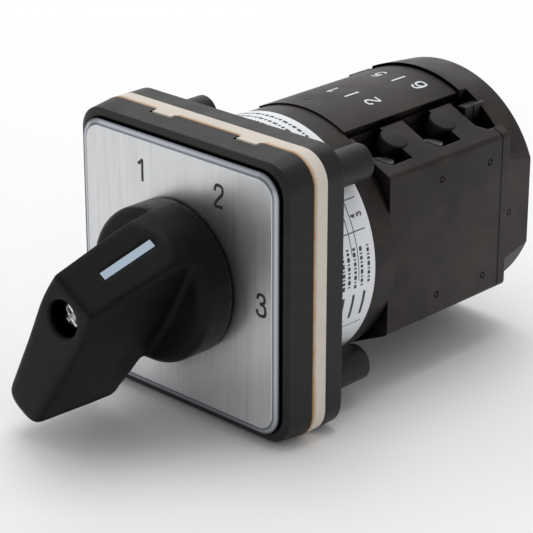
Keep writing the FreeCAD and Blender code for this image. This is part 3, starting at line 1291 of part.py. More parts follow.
make_bezel()
make_legend_plate()
make_gasket()
make_mounting_plate()
make_shaft()
make_shaft_seal()
make_knob()
make_pointer()
make_knob_screw()
make_detent_housing()
make_detent_star()
for follower, spring, side in (("detent_follower_upper", "detent_spring_upper", 1),
                               ("detent_follower_lower", "detent_spring_lower", -1)):
    make_detent_follower(follower, side)
    make_spring(spring, size.detent_spring_turns, size.star_front + size.star_width / 2, side,
                size.follower_end - size.spring_seat_depth, size.housing_diameter / 2 - size.housing_wall)
make_stop()
make_label()
make_plate_screws()
make_contact_housing()
make_cover("terminal_cover_upper", 1)
make_cover("terminal_cover_lower", -1)
make_end_cap()
make_tie_bolts()
make_contacts()
write_steps()
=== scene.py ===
import math

import bpy
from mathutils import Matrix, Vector


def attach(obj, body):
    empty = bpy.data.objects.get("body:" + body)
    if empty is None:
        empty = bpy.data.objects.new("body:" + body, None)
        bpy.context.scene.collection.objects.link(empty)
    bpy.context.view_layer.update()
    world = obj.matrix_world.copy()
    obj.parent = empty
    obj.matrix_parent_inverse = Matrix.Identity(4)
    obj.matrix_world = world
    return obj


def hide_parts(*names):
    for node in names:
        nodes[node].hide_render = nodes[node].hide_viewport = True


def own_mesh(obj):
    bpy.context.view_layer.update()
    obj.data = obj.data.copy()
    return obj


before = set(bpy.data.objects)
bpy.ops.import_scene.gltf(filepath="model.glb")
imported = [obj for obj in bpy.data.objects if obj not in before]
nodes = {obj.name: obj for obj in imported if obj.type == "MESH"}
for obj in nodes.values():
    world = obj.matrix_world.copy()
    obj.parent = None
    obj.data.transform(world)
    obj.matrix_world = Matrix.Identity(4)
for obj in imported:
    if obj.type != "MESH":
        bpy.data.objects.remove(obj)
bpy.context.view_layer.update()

MM = 0.001

# Camera, measured from the photograph
CAMERA_AZIMUTH = 44.0
CAMERA_ELEVATION = 22.42
CAMERA_DISTANCE = 365.6 * MM
CAMERA_TARGET = Vector((0.0, 10.26 * MM, -2.84 * MM))
CAMERA_LENS = 148.5
CAMERA_SHIFT = (0.0095, -0.0159)

# Places on the switch, in millimetres
PLATE_FRONT = -9.15
COVER_RADIUS = 21.5
BLOCK_HALF, SIDE_HALF = 19.8, 13.85
SHELF_INNER, SHELF_TOP = 10.5, 18.2
STAGE_STARTS = (19.6, 32.1)
BOSS_X, BOSS_BACK = 13.2, 8.3
SPRING_SEAT, CONTACT_TRAVEL = 20.2, 1.3
BLOCK_REAR = 48.6
TAB_MIDDLES, TAB_HALF, TAB_FOOT = (-8.3, 10.6), 2.6, 23.0
KNOB_ANGLE, COLLAR_FRONT = 30.0, -16.0
GRIP_FOOT, GRIP_DEPTH = 2.0, 15.5
BORE_RADIUS, BORE_MARGIN = 3.3, 0.9
SIDE_FULLER, NOSE_LOWER = 0.6, 0.6
SCREW_FRONT, SCREW_RADIUS = -31.45, 2.68
LABEL_RADIUS = 21.36
FLOOR_HEIGHT = -24.05

# The tail's extra length as a share of its own, and how much more of that it has at the collar
TAIL_LONGER, TAIL_BACK = 0.08, 0.085


def make_camera():
    """The photograph's viewpoint."""
    azimuth, elevation = math.radians(CAMERA_AZIMUTH), math.radians(CAMERA_ELEVATION)
    away = Vector((math.sin(azimuth) * math.cos(elevation),
                   -math.cos(azimuth) * math.cos(elevation),
                   math.sin(elevation)))
    data = bpy.data.cameras.new("camera")
    data.sensor_width = 36.0
    data.lens = CAMERA_LENS
    data.shift_x, data.shift_y = CAMERA_SHIFT
    data.clip_start = 0.01
    camera = bpy.data.objects.new("camera", data)
    camera.location = CAMERA_TARGET + away * CAMERA_DISTANCE
    camera.rotation_mode = "QUATERNION"
    camera.rotation_quaternion = (-away).to_track_quat("-Z", "Y")
    bpy.context.scene.collection.objects.link(camera)
    bpy.context.scene.camera = camera


# Finishes


class Socket:
    """An output of a finish's node; arithmetic on it adds Math nodes."""

    def __init__(self, finish, link):
        self.finish, self.link = finish, link

    def math(self, operation, *values, clamp=False):
        settings = {"operation": operation, "use_clamp": clamp}
        return self.finish.add("ShaderNodeMath", settings, *values)

    def __add__(self, other):
        return self.math("ADD", self, other)

    def __radd__(self, other):
        return self.math("ADD", other, self)

    def __sub__(self, other):
        return self.math("SUBTRACT", self, other)

    def __rsub__(self, other):
        return self.math("SUBTRACT", other, self)

    def __mul__(self, other):
        return self.math("MULTIPLY", self, other)

    def __rmul__(self, other):
        return self.math("MULTIPLY", other, self)

    def held(self):
        """The same value, held between 0 and 1."""
        return self.math("ADD", self, 0.0, clamp=True)

    def size(self):
        """The same value without its sign."""
        return self.math("ABSOLUTE", self)


class Finish:
    """A material in the making. add() makes one node: its settings first, then its inputs in order."""

    def __init__(self, name, colour, roughness, metallic=0.0, **constants):
        self.material = bpy.data.materials.new(name)
        self.material.use_nodes = True
        self.tree = self.material.node_tree
        self.shader = self.tree.nodes["Principled BSDF"]
        self.colour = colour
        self.put(self.shader.inputs["Base Color"], (*colour, 1.0))
        self.put(self.shader.inputs["Roughness"], roughness)
        self.put(self.shader.inputs["Metallic"], metallic)
        for socket, value in constants.items():
            self.put(self.shader.inputs[socket.replace("_", " ")], value)

    def put(self, socket, value):
        if isinstance(value, Socket):
            self.tree.links.new(value.link, socket)
        elif value is not None:
            socket.default_value = value

    def add(self, kind, settings, *values, output=0):
        node = self.tree.nodes.new(kind)
        for name, value in settings.items():
            setattr(node, name, value)
        for socket, value in zip(node.inputs, values):
            self.put(socket, value)
        return Socket(self, node.outputs[output])

    def place(self, stretch=(1.0, 1.0, 1.0)):
        """The place on the object in millimetres, stretched."""
        coordinates = self.add("ShaderNodeTexCoord", {}, output=3)
        scale = tuple(s / MM for s in stretch)
        return self.add("ShaderNodeVectorMath", {"operation": "MULTIPLY"}, coordinates, scale)

    def along(self, axis):
        """One coordinate of that place: 0 for X, 1 for Y, 2 for Z."""
        return self.add("ShaderNodeSeparateXYZ", {}, self.place(), output=axis)

    def noise(self, scale, detail=2.0, stretch=(1.0, 1.0, 1.0)):
        """Noise from 0 to 1 with so many features to a millimetre."""
        return self.add("ShaderNodeTexNoise", {}, self.place(stretch), None, scale, detail, 0.5)

    def blend(self, factor, first, second):
        """A colour between two."""
        node = self.tree.nodes.new("ShaderNodeMix")
        node.data_type = "RGBA"
        sockets = [s for s in node.inputs if s.enabled]
        for socket, value in zip(sockets, (factor, first, second)):
            self.put(socket, (*value, 1.0) if isinstance(value, tuple) else value)
        return Socket(self, [s for s in node.outputs if s.enabled][0])

    def shades(self, factor, low, high):
        """The finish's own colour, from low to high times its brightness."""
        ends = [tuple(min(1.0, c * share) for c in self.colour) for share in (low, high)]
        return self.blend(factor, *ends)

    def soft_edge(self, radius):
        """How far a point lies on an edge, and the normal rounded over that edge."""
        rounded = self.add("ShaderNodeBevel", {"samples": 6}, radius * MM)
        plain = self.add("ShaderNodeNewGeometry", {}, output=1)
        facing = self.add("ShaderNodeVectorMath", {"operation": "DOT_PRODUCT"}, rounded, plain, output=1)
        return (1.0 - facing).held(), rounded

    def bump(self, height, depth, normal=None):
        return self.add("ShaderNodeBump", {}, 1.0, depth * MM, None, height, normal)

    def done(self, colour=None, roughness=None, normal=None):
        for name, value in (("Base Color", colour), ("Roughness", roughness), ("Normal", normal)):
            self.put(self.shader.inputs[name], value)
        return self.material


def moulded(name, colour, roughness, grain=4.0, depth=0.012, edge_radius=0.22, worn=3.0, rubbed=0.0,
            recess=0.0, recess_ahead=None, patchy=0.0, seam=None, polished=None, **constants):
    """Moulded plastic: spark-eroded grain, cloudy sheen, pale edges of wear and painted highlight, rubs,
    and painted shade in recesses.

    Lengths are in millimetres: the edge's radius, the depth of the grain, how wide an opening counts
    as a recess, and the Y where the painted recess shade ends, where a joint shows and where the polish
    starts.
    """
    finish = Finish(name, colour, roughness, **constants)
    edge, rounded = finish.soft_edge(edge_radius)
    cloud = finish.noise(0.18, 3.0)
    fine = finish.noise(grain, 2.0)
    # handling leaves thin pale rubs, longest along the shaft
    rub = ((finish.noise(0.5, 5.0, (1.0, 0.35, 1.0)) - 0.57) * 5.0).held() * rubbed
    factor = (0.45 + (cloud - 0.5) * 1.6 + (fine - 0.5) * 1.4 + rub).held()
    if patchy:
        # where the moulding cooled unevenly it is paler and glossier
        patch = finish.noise(0.075, 2.0, (1.0, 0.8, 1.4))
        factor = (factor + (patch - 0.5) * patchy).held()
        roughness = (patch - 0.5) * -0.35 + roughness
    shade = finish.shades(factor, 0.5, 1.7)
    # pale edges: partly wear, partly a painted highlight along every edge
    pale = tuple(c * worn for c in colour)
    shade = finish.blend((edge * 2.2 * (0.5 + cloud)).held(), shade, pale)
    sheen = roughness + (cloud - 0.5) * 0.3 + (fine - 0.5) * 0.25 + rub * 0.12
    darkest, shade_and_joint = tuple(c * 0.1 for c in colour), None
    if recess:
        # painted shade: deep in a pocket the colour is darkened and the plastic made dull
        settings = {"samples": 8, "only_local": False}
        open_air = finish.add("ShaderNodeAmbientOcclusion", settings, None, recess * MM, output=1)
        recess_shade = ((0.84 - open_air) * 2.4).held()
        if recess_ahead:
            recess_shade = recess_shade * ((recess_ahead - finish.along(1)) * 0.5).held()
        shade = finish.blend(recess_shade, shade, darkest)
        sheen = sheen + recess_shade * 0.4
        shade_and_joint = recess_shade
    if seam:
        # the joint between two mouldings shows as a dark line
        joint = 1.0 - (((finish.along(1) - seam).size() - 0.13) * 7.0).held()
        shade = finish.blend(joint, shade, darkest)
        shade_and_joint = recess_shade.math("MAXIMUM", recess_shade, joint)
    if shade_and_joint:
        # where shade is painted and on the joint, a metal as dark as this mirrors next to nothing
        finish.put(finish.shader.inputs["Metallic"], shade_and_joint)
    if polished:
        # fingers polish the collar behind this place
        sheen = sheen - (finish.along(1) - polished).held() * 0.17
    return finish.done(shade, sheen, finish.bump(fine, depth, rounded))


def metal(name, colour, roughness, depth):
    """Plated or drawn metal: faint stains, fine scratches and bright edges, partly wear and partly painted
    highlight.
    """
    finish = Finish(name, colour, roughness, 1.0)
    edge, rounded = finish.soft_edge(0.12)
    stain = finish.noise(0.6, 4.0)
    scratch = finish.noise(3.0, 3.0, (1.0, 0.25, 1.0))
    # edges are made brighter: partly wear, partly a painted highlight
    factor = (0.5 + (stain - 0.5) * 1.1 + (scratch - 0.5) * 0.4 + edge * 1.5).held()
    sheen = roughness + (stain - 0.5) * 0.2 + (scratch - 0.5) * 0.1
    return finish.done(finish.shades(factor, 0.75, 1.12), sheen, finish.bump(scratch, depth, rounded))


def brushed_plate():
    """Aluminium sheet brushed upright, with a polished bevel round it whose reflection is painted into its
    colour.
    """
    finish = Finish("brushed_aluminium", (0.66, 0.67, 0.68), 0.34, 1.0)
    fine = finish.noise(5.0, 4.0, (1.0, 1.0, 0.012))
    broad = finish.noise(0.7, 2.0, (1.0, 1.0, 0.04))
    back = finish.along(1) - PLATE_FRONT
    rim = ((back - 0.03) * 20.0).held()
    factor = (0.5 + (fine - 0.5) * 0.9 + (broad - 0.5) * 0.5).held()
    face = finish.shades(factor, 0.78, 1.2)
    # painted reflection on the rolled bevel: dark where it leaves the face and at its outer side, a painted
    # highlight between
    bevel_highlight = 1.0 - ((back - 0.27).size() * 5.5).held()
    bevel_reflection = finish.blend(bevel_highlight, (0.13, 0.14, 0.17), (0.5, 0.52, 0.56))
    colour = finish.blend(rim, face, bevel_reflection)
    roughness = (0.34 + (fine - 0.5) * 0.16) * (1.0 - rim) + 0.16 * rim
    return finish.done(colour, roughness, finish.bump(fine * (1.0 - rim), 0.006))


def foam():
    """Cream foam of the panel gasket."""
    finish = Finish("gasket_foam", (0.70, 0.64, 0.56), 0.85, Subsurface_Weight=0.08,
                    Subsurface_Radius=(1.0, 0.6, 0.35), Subsurface_Scale=0.4 * MM)
    edge, rounded = finish.soft_edge(0.25)
    cells = finish.noise(3.0, 3.0)
    cloud = finish.noise(0.3, 2.0)
    factor = (0.5 + (cells - 0.5) * 0.6 + (cloud - 0.5) * 0.6 - edge * 0.6).held()
    pale = finish.shades(factor, 0.9, 1.08)
    # along its front edge beside the bezel the foam turns orange-brown
    back = finish.along(1)
    front_band = ((-2.1 + (cloud - 0.5) * 0.6 - back) * 1.1).held()
    for middle in TAB_MIDDLES:
        # there is none in front of a tab on the top edge
        beside = (((finish.along(0) - middle).size() - TAB_HALF + 0.2) * 3.0).held()
        below = ((TAB_FOOT - finish.along(2)) * 3.0).held()
        front_band = front_band * beside.math("MAXIMUM", beside, below)
    colour = finish.blend(front_band, pale, (0.40, 0.20, 0.06))
    return finish.done(colour, 0.85 - (cells - 0.5) * 0.1, finish.bump(cells, 0.03, rounded))


def paper():
    """White label stock with a faint sheen."""
    finish = Finish("label_paper", (0.82, 0.84, 0.87), 0.42)
    fibre = finish.noise(2.0, 3.0)
    sheen = 0.42 + (fibre - 0.5) * 0.1
    return finish.done(finish.shades(fibre, 0.94, 1.05), sheen, finish.bump(fibre, 0.004))


def paint(name, colour, roughness):
    """Printed or filled paint."""
    finish = Finish(name, colour, roughness)
    speck = finish.noise(6.0, 2.0)
    sheen = roughness + (speck - 0.5) * 0.15
    return finish.done(finish.shades(speck, 0.9, 1.1), sheen, finish.bump(speck, 0.004))


def make_finishes():
    """Every finish by the name of its slot, then the ones of the added pieces."""
    mouldings = {
        "black_plastic": dict(colour=(0.0105, 0.0105, 0.011), roughness=0.44, grain=3.0, depth=0.02,
                              rubbed=0.3, edge_radius=0.3, Specular_IOR_Level=0.26),
        "knob_plastic": dict(colour=(0.0034, 0.0034, 0.0037), roughness=0.47, grain=3.4, depth=0.05,
                             edge_radius=0.4, worn=3.5, recess=6.0, recess_ahead=COLLAR_FRONT,
                             polished=COLLAR_FRONT, Specular_IOR_Level=0.125),
        "block_plastic": dict(colour=(0.0215, 0.0168, 0.0150), roughness=0.46, depth=0.016, rubbed=0.5,
                              worn=2.6, recess=5.0, patchy=1.5, seam=BLOCK_REAR, Specular_IOR_Level=0.24),
        "natural_plastic": dict(colour=(0.72, 0.70, 0.62), roughness=0.4, depth=0.004, worn=1.1),
        "seal_rubber": dict(colour=(0.012, 0.012, 0.012), roughness=0.6, depth=0.006),
        "mark_plastic": dict(colour=(0.003, 0.0025, 0.0022), roughness=0.7, depth=0.01, worn=2.0,
                             Specular_IOR_Level=0.08),
        "boss_plastic": dict(colour=(0.015, 0.013, 0.012), roughness=0.5, depth=0.02, rubbed=0.3,
                             Specular_IOR_Level=0.22),
    }
    metals = {
        "zinc_steel": ((0.48, 0.49, 0.51), 0.42, 0.02),
        "polished_zinc": ((0.93, 0.96, 1.0), 0.1, 0.02),
        "bright_steel": ((0.68, 0.68, 0.68), 0.2, 0.004),
        "spring_steel": ((0.45, 0.45, 0.46), 0.3, 0.004),
        "brass": ((0.88, 0.66, 0.30), 0.22, 0.004),
    }
    paints = {
        "pointer_paint": ((0.42, 0.52, 0.63), 0.45),
        "dial_ink": ((0.012, 0.012, 0.014), 0.4),
        "cover_ink": ((0.76, 0.80, 0.83), 0.5),
        "label_ink": ((0.02, 0.02, 0.025), 0.5),
    }
    made = {name: moulded(name, **values) for name, values in mouldings.items()}
    made.update({name: metal(name, *values) for name, values in metals.items()})
    made.update({name: paint(name, *values) for name, values in paints.items()})
    made.update({"brushed_plate": brushed_plate(), "gasket_foam": foam(), "label_paper": paper()})
    return made


def dress_nodes(finishes):
    """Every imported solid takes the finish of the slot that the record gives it."""
    for node in nodes.values():
        for place in node.material_slots:
            place.material = finishes[place.material.name.split(".")[0]]


def finish_piece(piece, finish, body):
    """Gives an added piece its look and the body that it rides on."""
    piece.data.materials.clear()
    piece.data.materials.append(finish)
    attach(piece, body)


# Printed marks

# Single strokes in a box one high, with the left edge at 0; a number is one or more lines
GLYPHS = {
    "1": (((0.02, 0.76), (0.14, 0.82), (0.24, 0.91), (0.29, 1.0)),
          ((0.29, 1.0), (0.29, 0.5), (0.29, 0.0))),
    "2": (((0.04, 0.72), (0.05, 0.98), (0.28, 1.04), (0.53, 0.98), (0.54, 0.66), (0.34, 0.46),
           (0.08, 0.2), (0.03, 0.0)),
          ((0.03, 0.0), (0.3, 0.0), (0.55, 0.0))),
    "3": (((0.05, 0.76), (0.07, 0.98), (0.28, 1.04), (0.5, 0.98), (0.52, 0.6), (0.2, 0.54)),
          ((0.2, 0.54), (0.52, 0.56), (0.58, 0.1), (0.44, -0.04), (0.12, -0.04), (0.02, 0.12),
           (0.02, 0.25))),
    "4": (((0.42, 0.0), (0.42, 0.5), (0.42, 1.0)),
          ((0.42, 1.0), (0.2, 0.6), (0.0, 0.3)),
          ((0.0, 0.3), (0.3, 0.3), (0.55, 0.3))),
    "5": (((0.5, 1.0), (0.3, 1.0), (0.12, 1.0)),
          ((0.12, 1.0), (0.08, 0.76), (0.05, 0.5)),
          ((0.05, 0.5), (0.2, 0.68), (0.52, 0.66), (0.6, 0.1), (0.36, -0.06), (0.1, 0.0),
           (0.02, 0.18))),
    "6": (((0.5, 0.82), (0.46, 1.02), (0.12, 1.06), (0.0, 0.6), (0.0, 0.0), (0.28, -0.04),
           (0.58, 0.02), (0.58, 0.6), (0.2, 0.66), (0.04, 0.4)),),
    "7": (((0.02, 1.0), (0.3, 1.0), (0.54, 1.0)),
          ((0.54, 1.0), (0.3, 0.5), (0.18, 0.0))),
    "8": (((0.28, 0.54), (0.06, 0.56), (0.04, 0.98), (0.28, 1.04), (0.52, 0.98), (0.5, 0.56),
           (0.28, 0.54)),
          ((0.28, 0.54), (0.0, 0.5), (0.0, 0.0), (0.28, -0.04), (0.56, 0.0), (0.56, 0.5),
           (0.28, 0.54))),
    "|": (((0.0, 0.0), (0.0, 0.5), (0.0, 1.0)),),
}
# Half the width of a digit in that box
GLYPH_MIDDLE = 0.28
# How far print stands off its surface
INK = 0.025


def flat_strokes(name, lines, width):
    """Round-ended strokes along flat lines, in millimetres: X to the right, Y up, Z off the surface."""
    curve = bpy.data.curves.new(name, "CURVE")
    curve.dimensions = "3D"
    curve.bevel_depth = width / 2
    curve.bevel_resolution = 2
    curve.use_fill_caps = True
    curve.resolution_u = 5
    for line in lines:
        spline = curve.splines.new("NURBS")
        spline.points.add(len(line) - 1)
        for point, (x, y) in zip(spline.points, line):
            point.co = (x, y, 0.0, 1.0)
        spline.order_u = 3
        spline.use_endpoint_u = True
    bpy.ops.object.select_all(action="DESELECT")
    piece = bpy.data.objects.new(name, curve)
    bpy.context.scene.collection.objects.link(piece)
    piece.select_set(True)
    bpy.context.view_layer.objects.active = piece
    bpy.ops.object.convert(target="MESH")
    for vertex in piece.data.vertices:
        vertex.co.z *= 2 * INK / width
    return piece


def number_lines(text, height, right=0.0, up=0.0):
    """The lines of a number, with its middle at the place given."""
    middle = 0.0 if text == "|" else GLYPH_MIDDLE
    return [[(right + (x - middle) * height, up + (y - 0.5) * height) for x, y in line]
            for line in GLYPHS[text]]


def print_on(piece, finish, body, mapping):
    """Lays flat strokes on their surface, gives them ink and lets them ride."""
    for vertex in piece.data.vertices:
        vertex.co = Vector(mapping(*vertex.co)) * MM
    for face in piece.data.polygons:
        face.use_smooth = True
    finish_piece(piece, finish, body)


def on_plate(right, up, off):
    """A place on the front of the legend plate."""
    return right, PLATE_FRONT - off, up


def around(radius, middle):
    """A mapping round the switch: up goes towards the knob, right goes round from the middle angle."""
    def mapping(right, up, off):
        angle = math.radians(middle) + right / radius
        return (radius + off) * math.cos(angle), -up, (radius + off) * math.sin(angle)
    return mapping


def print_dial(finishes):
    """The three positions on the legend plate."""
    marks = (("1", 3.75, -7.7, 15.85), ("2", 3.45, 9.55, 15.95), ("3", 3.35, 18.65, 0.35))
    for text, height, x, z in marks:
        piece = flat_strokes(f"dial_{text}", number_lines(text, height, x, z), 0.55)
        print_on(piece, finishes["dial_ink"], "switch", on_plate)


def print_covers(finishes):
    """Terminal numbers on the covers, upper and lower."""
    rows = (("upper", 85.9, ("1", "2"), ("5", "6")), ("lower", 265.9, ("3", "4"), ("7", "8")))
    # each row: height, place round the cover and Y of its marks at the first stage
    marks = ((2.7, 3.9, 29.9), (3.5, -0.2, 30.2), (2.7, -3.9, 31.4))
    for side, middle, *pairs in rows:
        lines = []
        for (first, second), back in zip(pairs, (0.0, 12.0)):
            for text, (height, right, y) in zip((first, "|", second), marks):
                lines += number_lines(text, height, right, -(y + back))
        piece = flat_strokes(f"cover_numbers_{side}", lines, 0.42)
        print_on(piece, finishes["cover_ink"], "switch", around(COVER_RADIUS, middle))


def straight(x0, y0, x1, y1):
    """A straight line as the three points that a stroke needs."""
    return ((x0, y0), ((x0 + x1) / 2, (y0 + y1) / 2), (x1, y1))


def print_label(finishes):
    """A plain table of lines, ticks and small bars round the label; it has no lettering."""
    degree = math.radians(1) * LABEL_RADIUS
    rules, rows = [], []
    for back, low, high in ((-9.25, 10, 60), (-10.55, -2, 60), (-9.25, 150, 205), (-10.55, 150, 205)):
        steps = range(low, high + 1, 5)
        rules.append([(a * degree, back) for a in steps])
    for angle in (60, 47, 34, 20, -24.6, 150, 165, 180, 205):
        rules.append(straight(angle * degree, -5.6, angle * degree, -13.2))
    for back, first in ((-7.0, 0), (-8.3, 1), (-9.75, 2), (-11.3, 3), (-12.95, 4)):
        angle = 14.0 - first * 0.3
        for step in range(9):
            length = (1.6, 0.7, 1.2, 2.0, 0.6)[(step + first) % 5]
            rows.append(straight(angle * degree, back, (angle - length) * degree, back))
            angle -= length + 0.85
    for back, shift in ((-6.0, 0), (-7.6, 3), (-9.2, 1), (-10.9, 4), (-12.7, 2)):
        angle = 118.0 - shift
        for step in range(18):
            length = (1.9, 1.0, 2.6, 1.3, 0.8, 2.2)[(step * 5 + shift) % 6]
            rows.append(straight(angle * degree, back, (angle - length) * degree, back))
            angle -= length + 1.1
    for back in (-7.2, -9.6, -12.2):
        rows.append(straight(-8 * degree, back, -20 * degree, back))
    numbers = [line for text, back in (("4", -11.3), ("3", -12.7))
               for line in number_lines(text, 0.95, 26.5 * degree, back)]
    for name, lines, width in (("label_rules", rules, 0.17), ("label_rows", rows, 0.6),
                               ("label_numbers", numbers, 0.24)):
        piece = flat_strokes(name, lines, width)
        print_on(piece, finishes["label_ink"], "switch", around(LABEL_RADIUS, 0.0))


# Small pieces on the plastics


def fresh(name):
    """Names the piece that an operator has just added, and gives it an empty slot list."""
    piece = bpy.context.object
    piece.name = name
    piece.data.materials.clear()
    return piece


def bake_place():
    """Puts the selected piece's place into its mesh, so that the object itself lies at the origin."""
    bpy.ops.object.transform_apply(location=True, rotation=True, scale=True)


def disc_on(name, middle, normal, radius, height, edge):
    """A low round disc with an eased rim, standing on a surface; all in millimetres."""
    bpy.ops.object.select_all(action="DESELECT")
    turn = Vector(normal).to_track_quat("Z", "Y").to_euler()
    bpy.ops.mesh.primitive_cylinder_add(vertices=40, radius=radius * MM, depth=height * MM,
                                        location=Vector(middle) * MM, rotation=turn)
    piece = fresh(name)
    apply_modifier(piece, "BEVEL", width=edge * MM, segments=3, limit_method="ANGLE")
    bake_place()
    bpy.ops.object.shade_smooth_by_angle(angle=math.radians(40))
    return piece


def ring_on(name, middle, normal, outer, inner, height):
    """The raised ring that an ejector pin leaves in moulded plastic."""
    bpy.ops.object.select_all(action="DESELECT")
    turn = Vector(normal).to_track_quat("Z", "Y").to_euler()
    bpy.ops.mesh.primitive_torus_add(major_segments=36, minor_segments=8,
                                     major_radius=(outer + inner) / 2 * MM,
                                     minor_radius=(outer - inner) / 2 * MM,
                                     location=Vector(middle) * MM, rotation=turn)
    piece = fresh(name)
    for vertex in piece.data.vertices:
        vertex.co.z *= height / (outer - inner)
    bake_place()
    bpy.ops.object.shade_smooth()
    return piece


def joined(name, pieces):
    """Makes several small pieces one object."""
    bpy.ops.object.select_all(action="DESELECT")
    for piece in pieces:
        piece.select_set(True)
    bpy.context.view_layer.objects.active = pieces[0]
    bpy.ops.object.join()
    pieces[0].name = name
    return pieces[0]


def held(value, least=0.0):
    return min(1.0, max(least, value))


def on_grip(place):
    """A point in the handle's own directions, in millimetres: across it, along it and in depth."""
    turn = math.radians(KNOB_ANGLE)
    across = (place.x * math.cos(turn) - place.z * math.sin(turn)) / MM
    along = (place.x * math.sin(turn) + place.z * math.cos(turn)) / MM
    return across, along, place.y / MM


def grip_place(place):
    """Where a point of the plain knob goes: the real grip has a longer tail, fuller sides, a lower nose."""
    across, along, depth = on_grip(place)
    ahead = held(COLLAR_FRONT - depth)
    front = held((COLLAR_FRONT - GRIP_FOOT - depth) / GRIP_DEPTH)
    outside = held((math.hypot(across, along) - BORE_RADIUS) / BORE_MARGIN)
    fuller = held(abs(across) - 2.0) * SIDE_FULLER * front * outside
    if along < 0.0:
        longer = along * (TAIL_LONGER + TAIL_BACK * (1.0 - front)) * ahead * outside
    else:
        longer = -NOSE_LOWER * front * held(along / 5.0) * outside
    across += math.copysign(fuller, across)
    along += longer
    turn = math.radians(KNOB_ANGLE)
    return Vector(((across * math.cos(turn) + along * math.sin(turn)) * MM, place.y,
                   (along * math.cos(turn) - across * math.sin(turn)) * MM))


def softness(place):
    """How far the grip is rounded at this point, 0 to 1: most at the front of the tail and the waist."""
    across, along, depth = on_grip(place)
    if math.hypot(across, along) < BORE_RADIUS + 1.3 or depth > COLLAR_FRONT + 1.5:
        return 0.0
    front = held((COLLAR_FRONT - 4.0 - depth) / 8.0, least=0.2)
    tail = held((-along - 1.0) / 9.0) * front
    waist = held(1.0 - abs(depth - COLLAR_FRONT + 3.0) / 4.5)
    return max(tail, 0.6 * waist, 0.03)


def apply_modifier(piece, kind, **settings):
    modifier = piece.modifiers.new(kind.lower(), kind)
    for name, value in settings.items():
        setattr(modifier, name, value)
    bpy.ops.object.modifier_apply(modifier=modifier.name)


def soften(piece):
    """Turns the grip into an even fine mesh and rounds its edges as the mould does."""
    apply_modifier(piece, "REMESH", mode="VOXEL", voxel_size=0.3 * MM)
    apply_modifier(piece, "SMOOTH", factor=0.5, iterations=5)
    group = piece.vertex_groups.new(name="soft")
    for vertex in piece.data.vertices:
        group.add([vertex.index], softness(vertex.co), "REPLACE")
    apply_modifier(piece, "SMOOTH", factor=0.5, iterations=55, vertex_group="soft")
    piece.vertex_groups.clear()


def copy_of(node, name):
    """A piece of its own with the node's mesh, its doubled points merged."""
    bpy.ops.object.select_all(action="DESELECT")
    piece = nodes[node].copy()
    piece.data = nodes[node].data.copy()
    piece.name = name
    bpy.context.scene.collection.objects.link(piece)
    piece.select_set(True)
    bpy.context.view_layer.objects.active = piece
    bpy.ops.mesh.customdata_custom_splitnormals_clear()
    bpy.ops.object.mode_set(mode="EDIT")
    bpy.ops.mesh.select_all(action="SELECT")
    bpy.ops.mesh.remove_doubles(threshold=0.0005 * MM)
    bpy.ops.object.mode_set(mode="OBJECT")
    return piece


def add_contact_springs(finishes):
    """Each contact spring gives way to a smooth-shaded copy of itself in spring steel that rides on the
    switch.
    """
    for pair, side in (("1_2", 1), ("3_4", -1), ("5_6", 1), ("7_8", -1)):
        piece = copy_of(f"contact_spring_{pair}", f"pressed_spring_{pair}")
        fixed_end = side * SPRING_SEAT * MM
        length = max(abs(vertex.co.z - fixed_end) for vertex in piece.data.vertices)
        bpy.ops.object.shade_smooth_by_angle(angle=math.radians(40))
        finish_piece(piece, finishes["spring_steel"], "switch")
        1.0 - CONTACT_TRAVEL * MM / length
        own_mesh(piece)
        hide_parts(f"contact_spring_{pair}")


def add_grip(finishes):
    """The knob with its true grip, and the pointer line that follows it."""
    for node, name, slot in (("knob", "knob_grip", "knob_plastic"),
                             ("knob_pointer", "pointer_line", "pointer_paint")):
        piece = copy_of(node, name)
        for vertex in piece.data.vertices:
            vertex.co = grip_place(vertex.co)
        if node == "knob":
            soften(piece)
        bpy.ops.object.shade_smooth_by_angle(angle=math.radians(40))
        finish_piece(piece, finishes[slot], "knob_and_shaft")
        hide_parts(node)


def add_boss_faces(finishes):
    """The round studs at the pockets stand a little proud of the sloping shelves."""
    lean = math.atan2(SHELF_TOP - SIDE_HALF, BLOCK_HALF - SHELF_INNER)
    height = SIDE_HALF + (BLOCK_HALF - BOSS_X) * math.tan(lean)
    discs = []
    for start in STAGE_STARTS:
        for side in (1, -1):
            for hand in (1, -1):
                normal = (hand * math.sin(lean), 0.0, side * math.cos(lean))
                middle = (hand * BOSS_X, start + BOSS_BACK, side * height)
                discs.append(disc_on(f"boss_face_{len(discs)}", middle, normal, 2.32, 0.5, 0.1))
    finish_piece(joined("boss_faces", discs), finishes["boss_plastic"], "switch")


def add_ejector_marks(finishes):
    """Pin marks on both sides of the contact housing and the end cap, and a gate mark on the cover."""
    rings = []
    for hand in (1, -1):
        for y, z in ((32.8, 10.2), (45.4, 9.9), (32.2, -10.3), (44.5, -10.5), (51.2, -0.75)):
            face = hand * (BLOCK_HALF + (0.0 if y < 50 else -0.02))
            rings.append(ring_on(f"pin_mark_{len(rings)}", (face, y, z), (hand, 0, 0), 0.62, 0.36, 0.1))
    finish_piece(joined("pin_marks", rings), finishes["mark_plastic"], "switch")
    spots = []
    for angle in (96.0, 276.0):
        out = Vector((math.cos(math.radians(angle)), 0.0, math.sin(math.radians(angle))))
        middle = out * (COVER_RADIUS - 0.01) + Vector((0.0, 23.4, 0.0))
        spots.append(disc_on(f"gate_{len(spots)}", middle, out, 0.55, 0.08, 0.02))
    finish_piece(joined("gate_marks", spots), finishes["boss_plastic"], "switch")


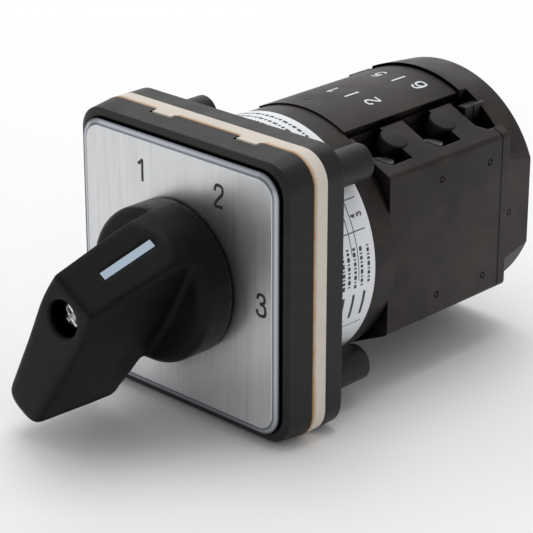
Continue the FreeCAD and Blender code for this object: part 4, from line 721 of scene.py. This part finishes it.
def add_screw_crown(finishes):
    """The knob screw's domed head with its cross recess, in front of the plain disc in the bore."""
    bpy.ops.object.select_all(action="DESELECT")
    height = 1.7
    bpy.ops.mesh.primitive_cylinder_add(vertices=48, radius=SCREW_RADIUS * MM, depth=height * MM,
                                        location=(0.0, (SCREW_FRONT + height / 2) * MM, 0.0),
                                        rotation=(math.radians(90), 0.0, 0.0))
    crown = fresh("knob_screw_crown")
    apply_modifier(crown, "BEVEL", width=0.75 * MM, segments=6, limit_method="ANGLE")
    for turned in (45.0, 135.0):
        bpy.ops.object.select_all(action="DESELECT")
        bpy.ops.mesh.primitive_cube_add(size=1.0, location=(0.0, (SCREW_FRONT + 0.25) * MM, 0.0),
                                        rotation=(0.0, math.radians(turned), 0.0),
                                        scale=(3.0 * MM, 1.9 * MM, 0.75 * MM))
        blade = bpy.context.object
        bpy.ops.object.select_all(action="DESELECT")
        crown.select_set(True)
        bpy.context.view_layer.objects.active = crown
        apply_modifier(crown, "BOOLEAN", operation="DIFFERENCE", object=blade, solver="EXACT")
        bpy.data.objects.remove(blade)
    bake_place()
    bpy.ops.object.shade_smooth_by_angle(angle=math.radians(35))
    finish_piece(crown, finishes["polished_zinc"], "knob_and_shaft")


# Studio

LAMP_AIM = Vector((0.0, 10.0 * MM, 0.0))


def lamp(name, place, size, power):
    """A square soft lamp, in metres and watts, that faces the switch."""
    data = bpy.data.lights.new(name, "AREA")
    data.shape = "SQUARE"
    data.size = size
    data.energy = power
    light = bpy.data.objects.new(name, data)
    light.location = Vector(place)
    light.rotation_mode = "QUATERNION"
    light.rotation_quaternion = (LAMP_AIM - light.location).to_track_quat("-Z", "Y")
    bpy.context.scene.collection.objects.link(light)


def make_studio():
    """A white floor, an even white room, and soft lamps above and to the sides."""
    bpy.ops.object.select_all(action="DESELECT")
    bpy.ops.mesh.primitive_plane_add(size=6.0, location=(0.0, 0.0, FLOOR_HEIGHT * MM))
    floor = bpy.context.object
    floor.name = "floor"
    finish = Finish("floor_paper", (0.96, 0.96, 0.96), 0.9)
    floor.data.materials.append(finish.done(finish.shades(finish.noise(0.02, 2.0), 0.99, 1.01)))
    world = bpy.data.worlds.new("room")
    world.use_nodes = True
    background = world.node_tree.nodes["Background"]
    background.inputs["Color"].default_value = (1.0, 1.0, 1.0, 1.0)
    background.inputs["Strength"].default_value = 0.54
    bpy.context.scene.world = world
    lamp("lamp_above", (-0.1, 0.15, 0.9), 0.6, 3.3)
    lamp("lamp_back", (-0.55, 0.62, 0.5), 0.9, 1.8)
    lamp("lamp_left", (-0.8, -0.55, 0.45), 0.5, 1.2)


make_camera()
finishes = make_finishes()
dress_nodes(finishes)
print_dial(finishes)
print_covers(finishes)
print_label(finishes)
add_grip(finishes)
add_contact_springs(finishes)
add_boss_faces(finishes)
add_ejector_marks(finishes)
add_screw_crown(finishes)
make_studio()
bpy.context.scene.view_settings.view_transform = "Standard"
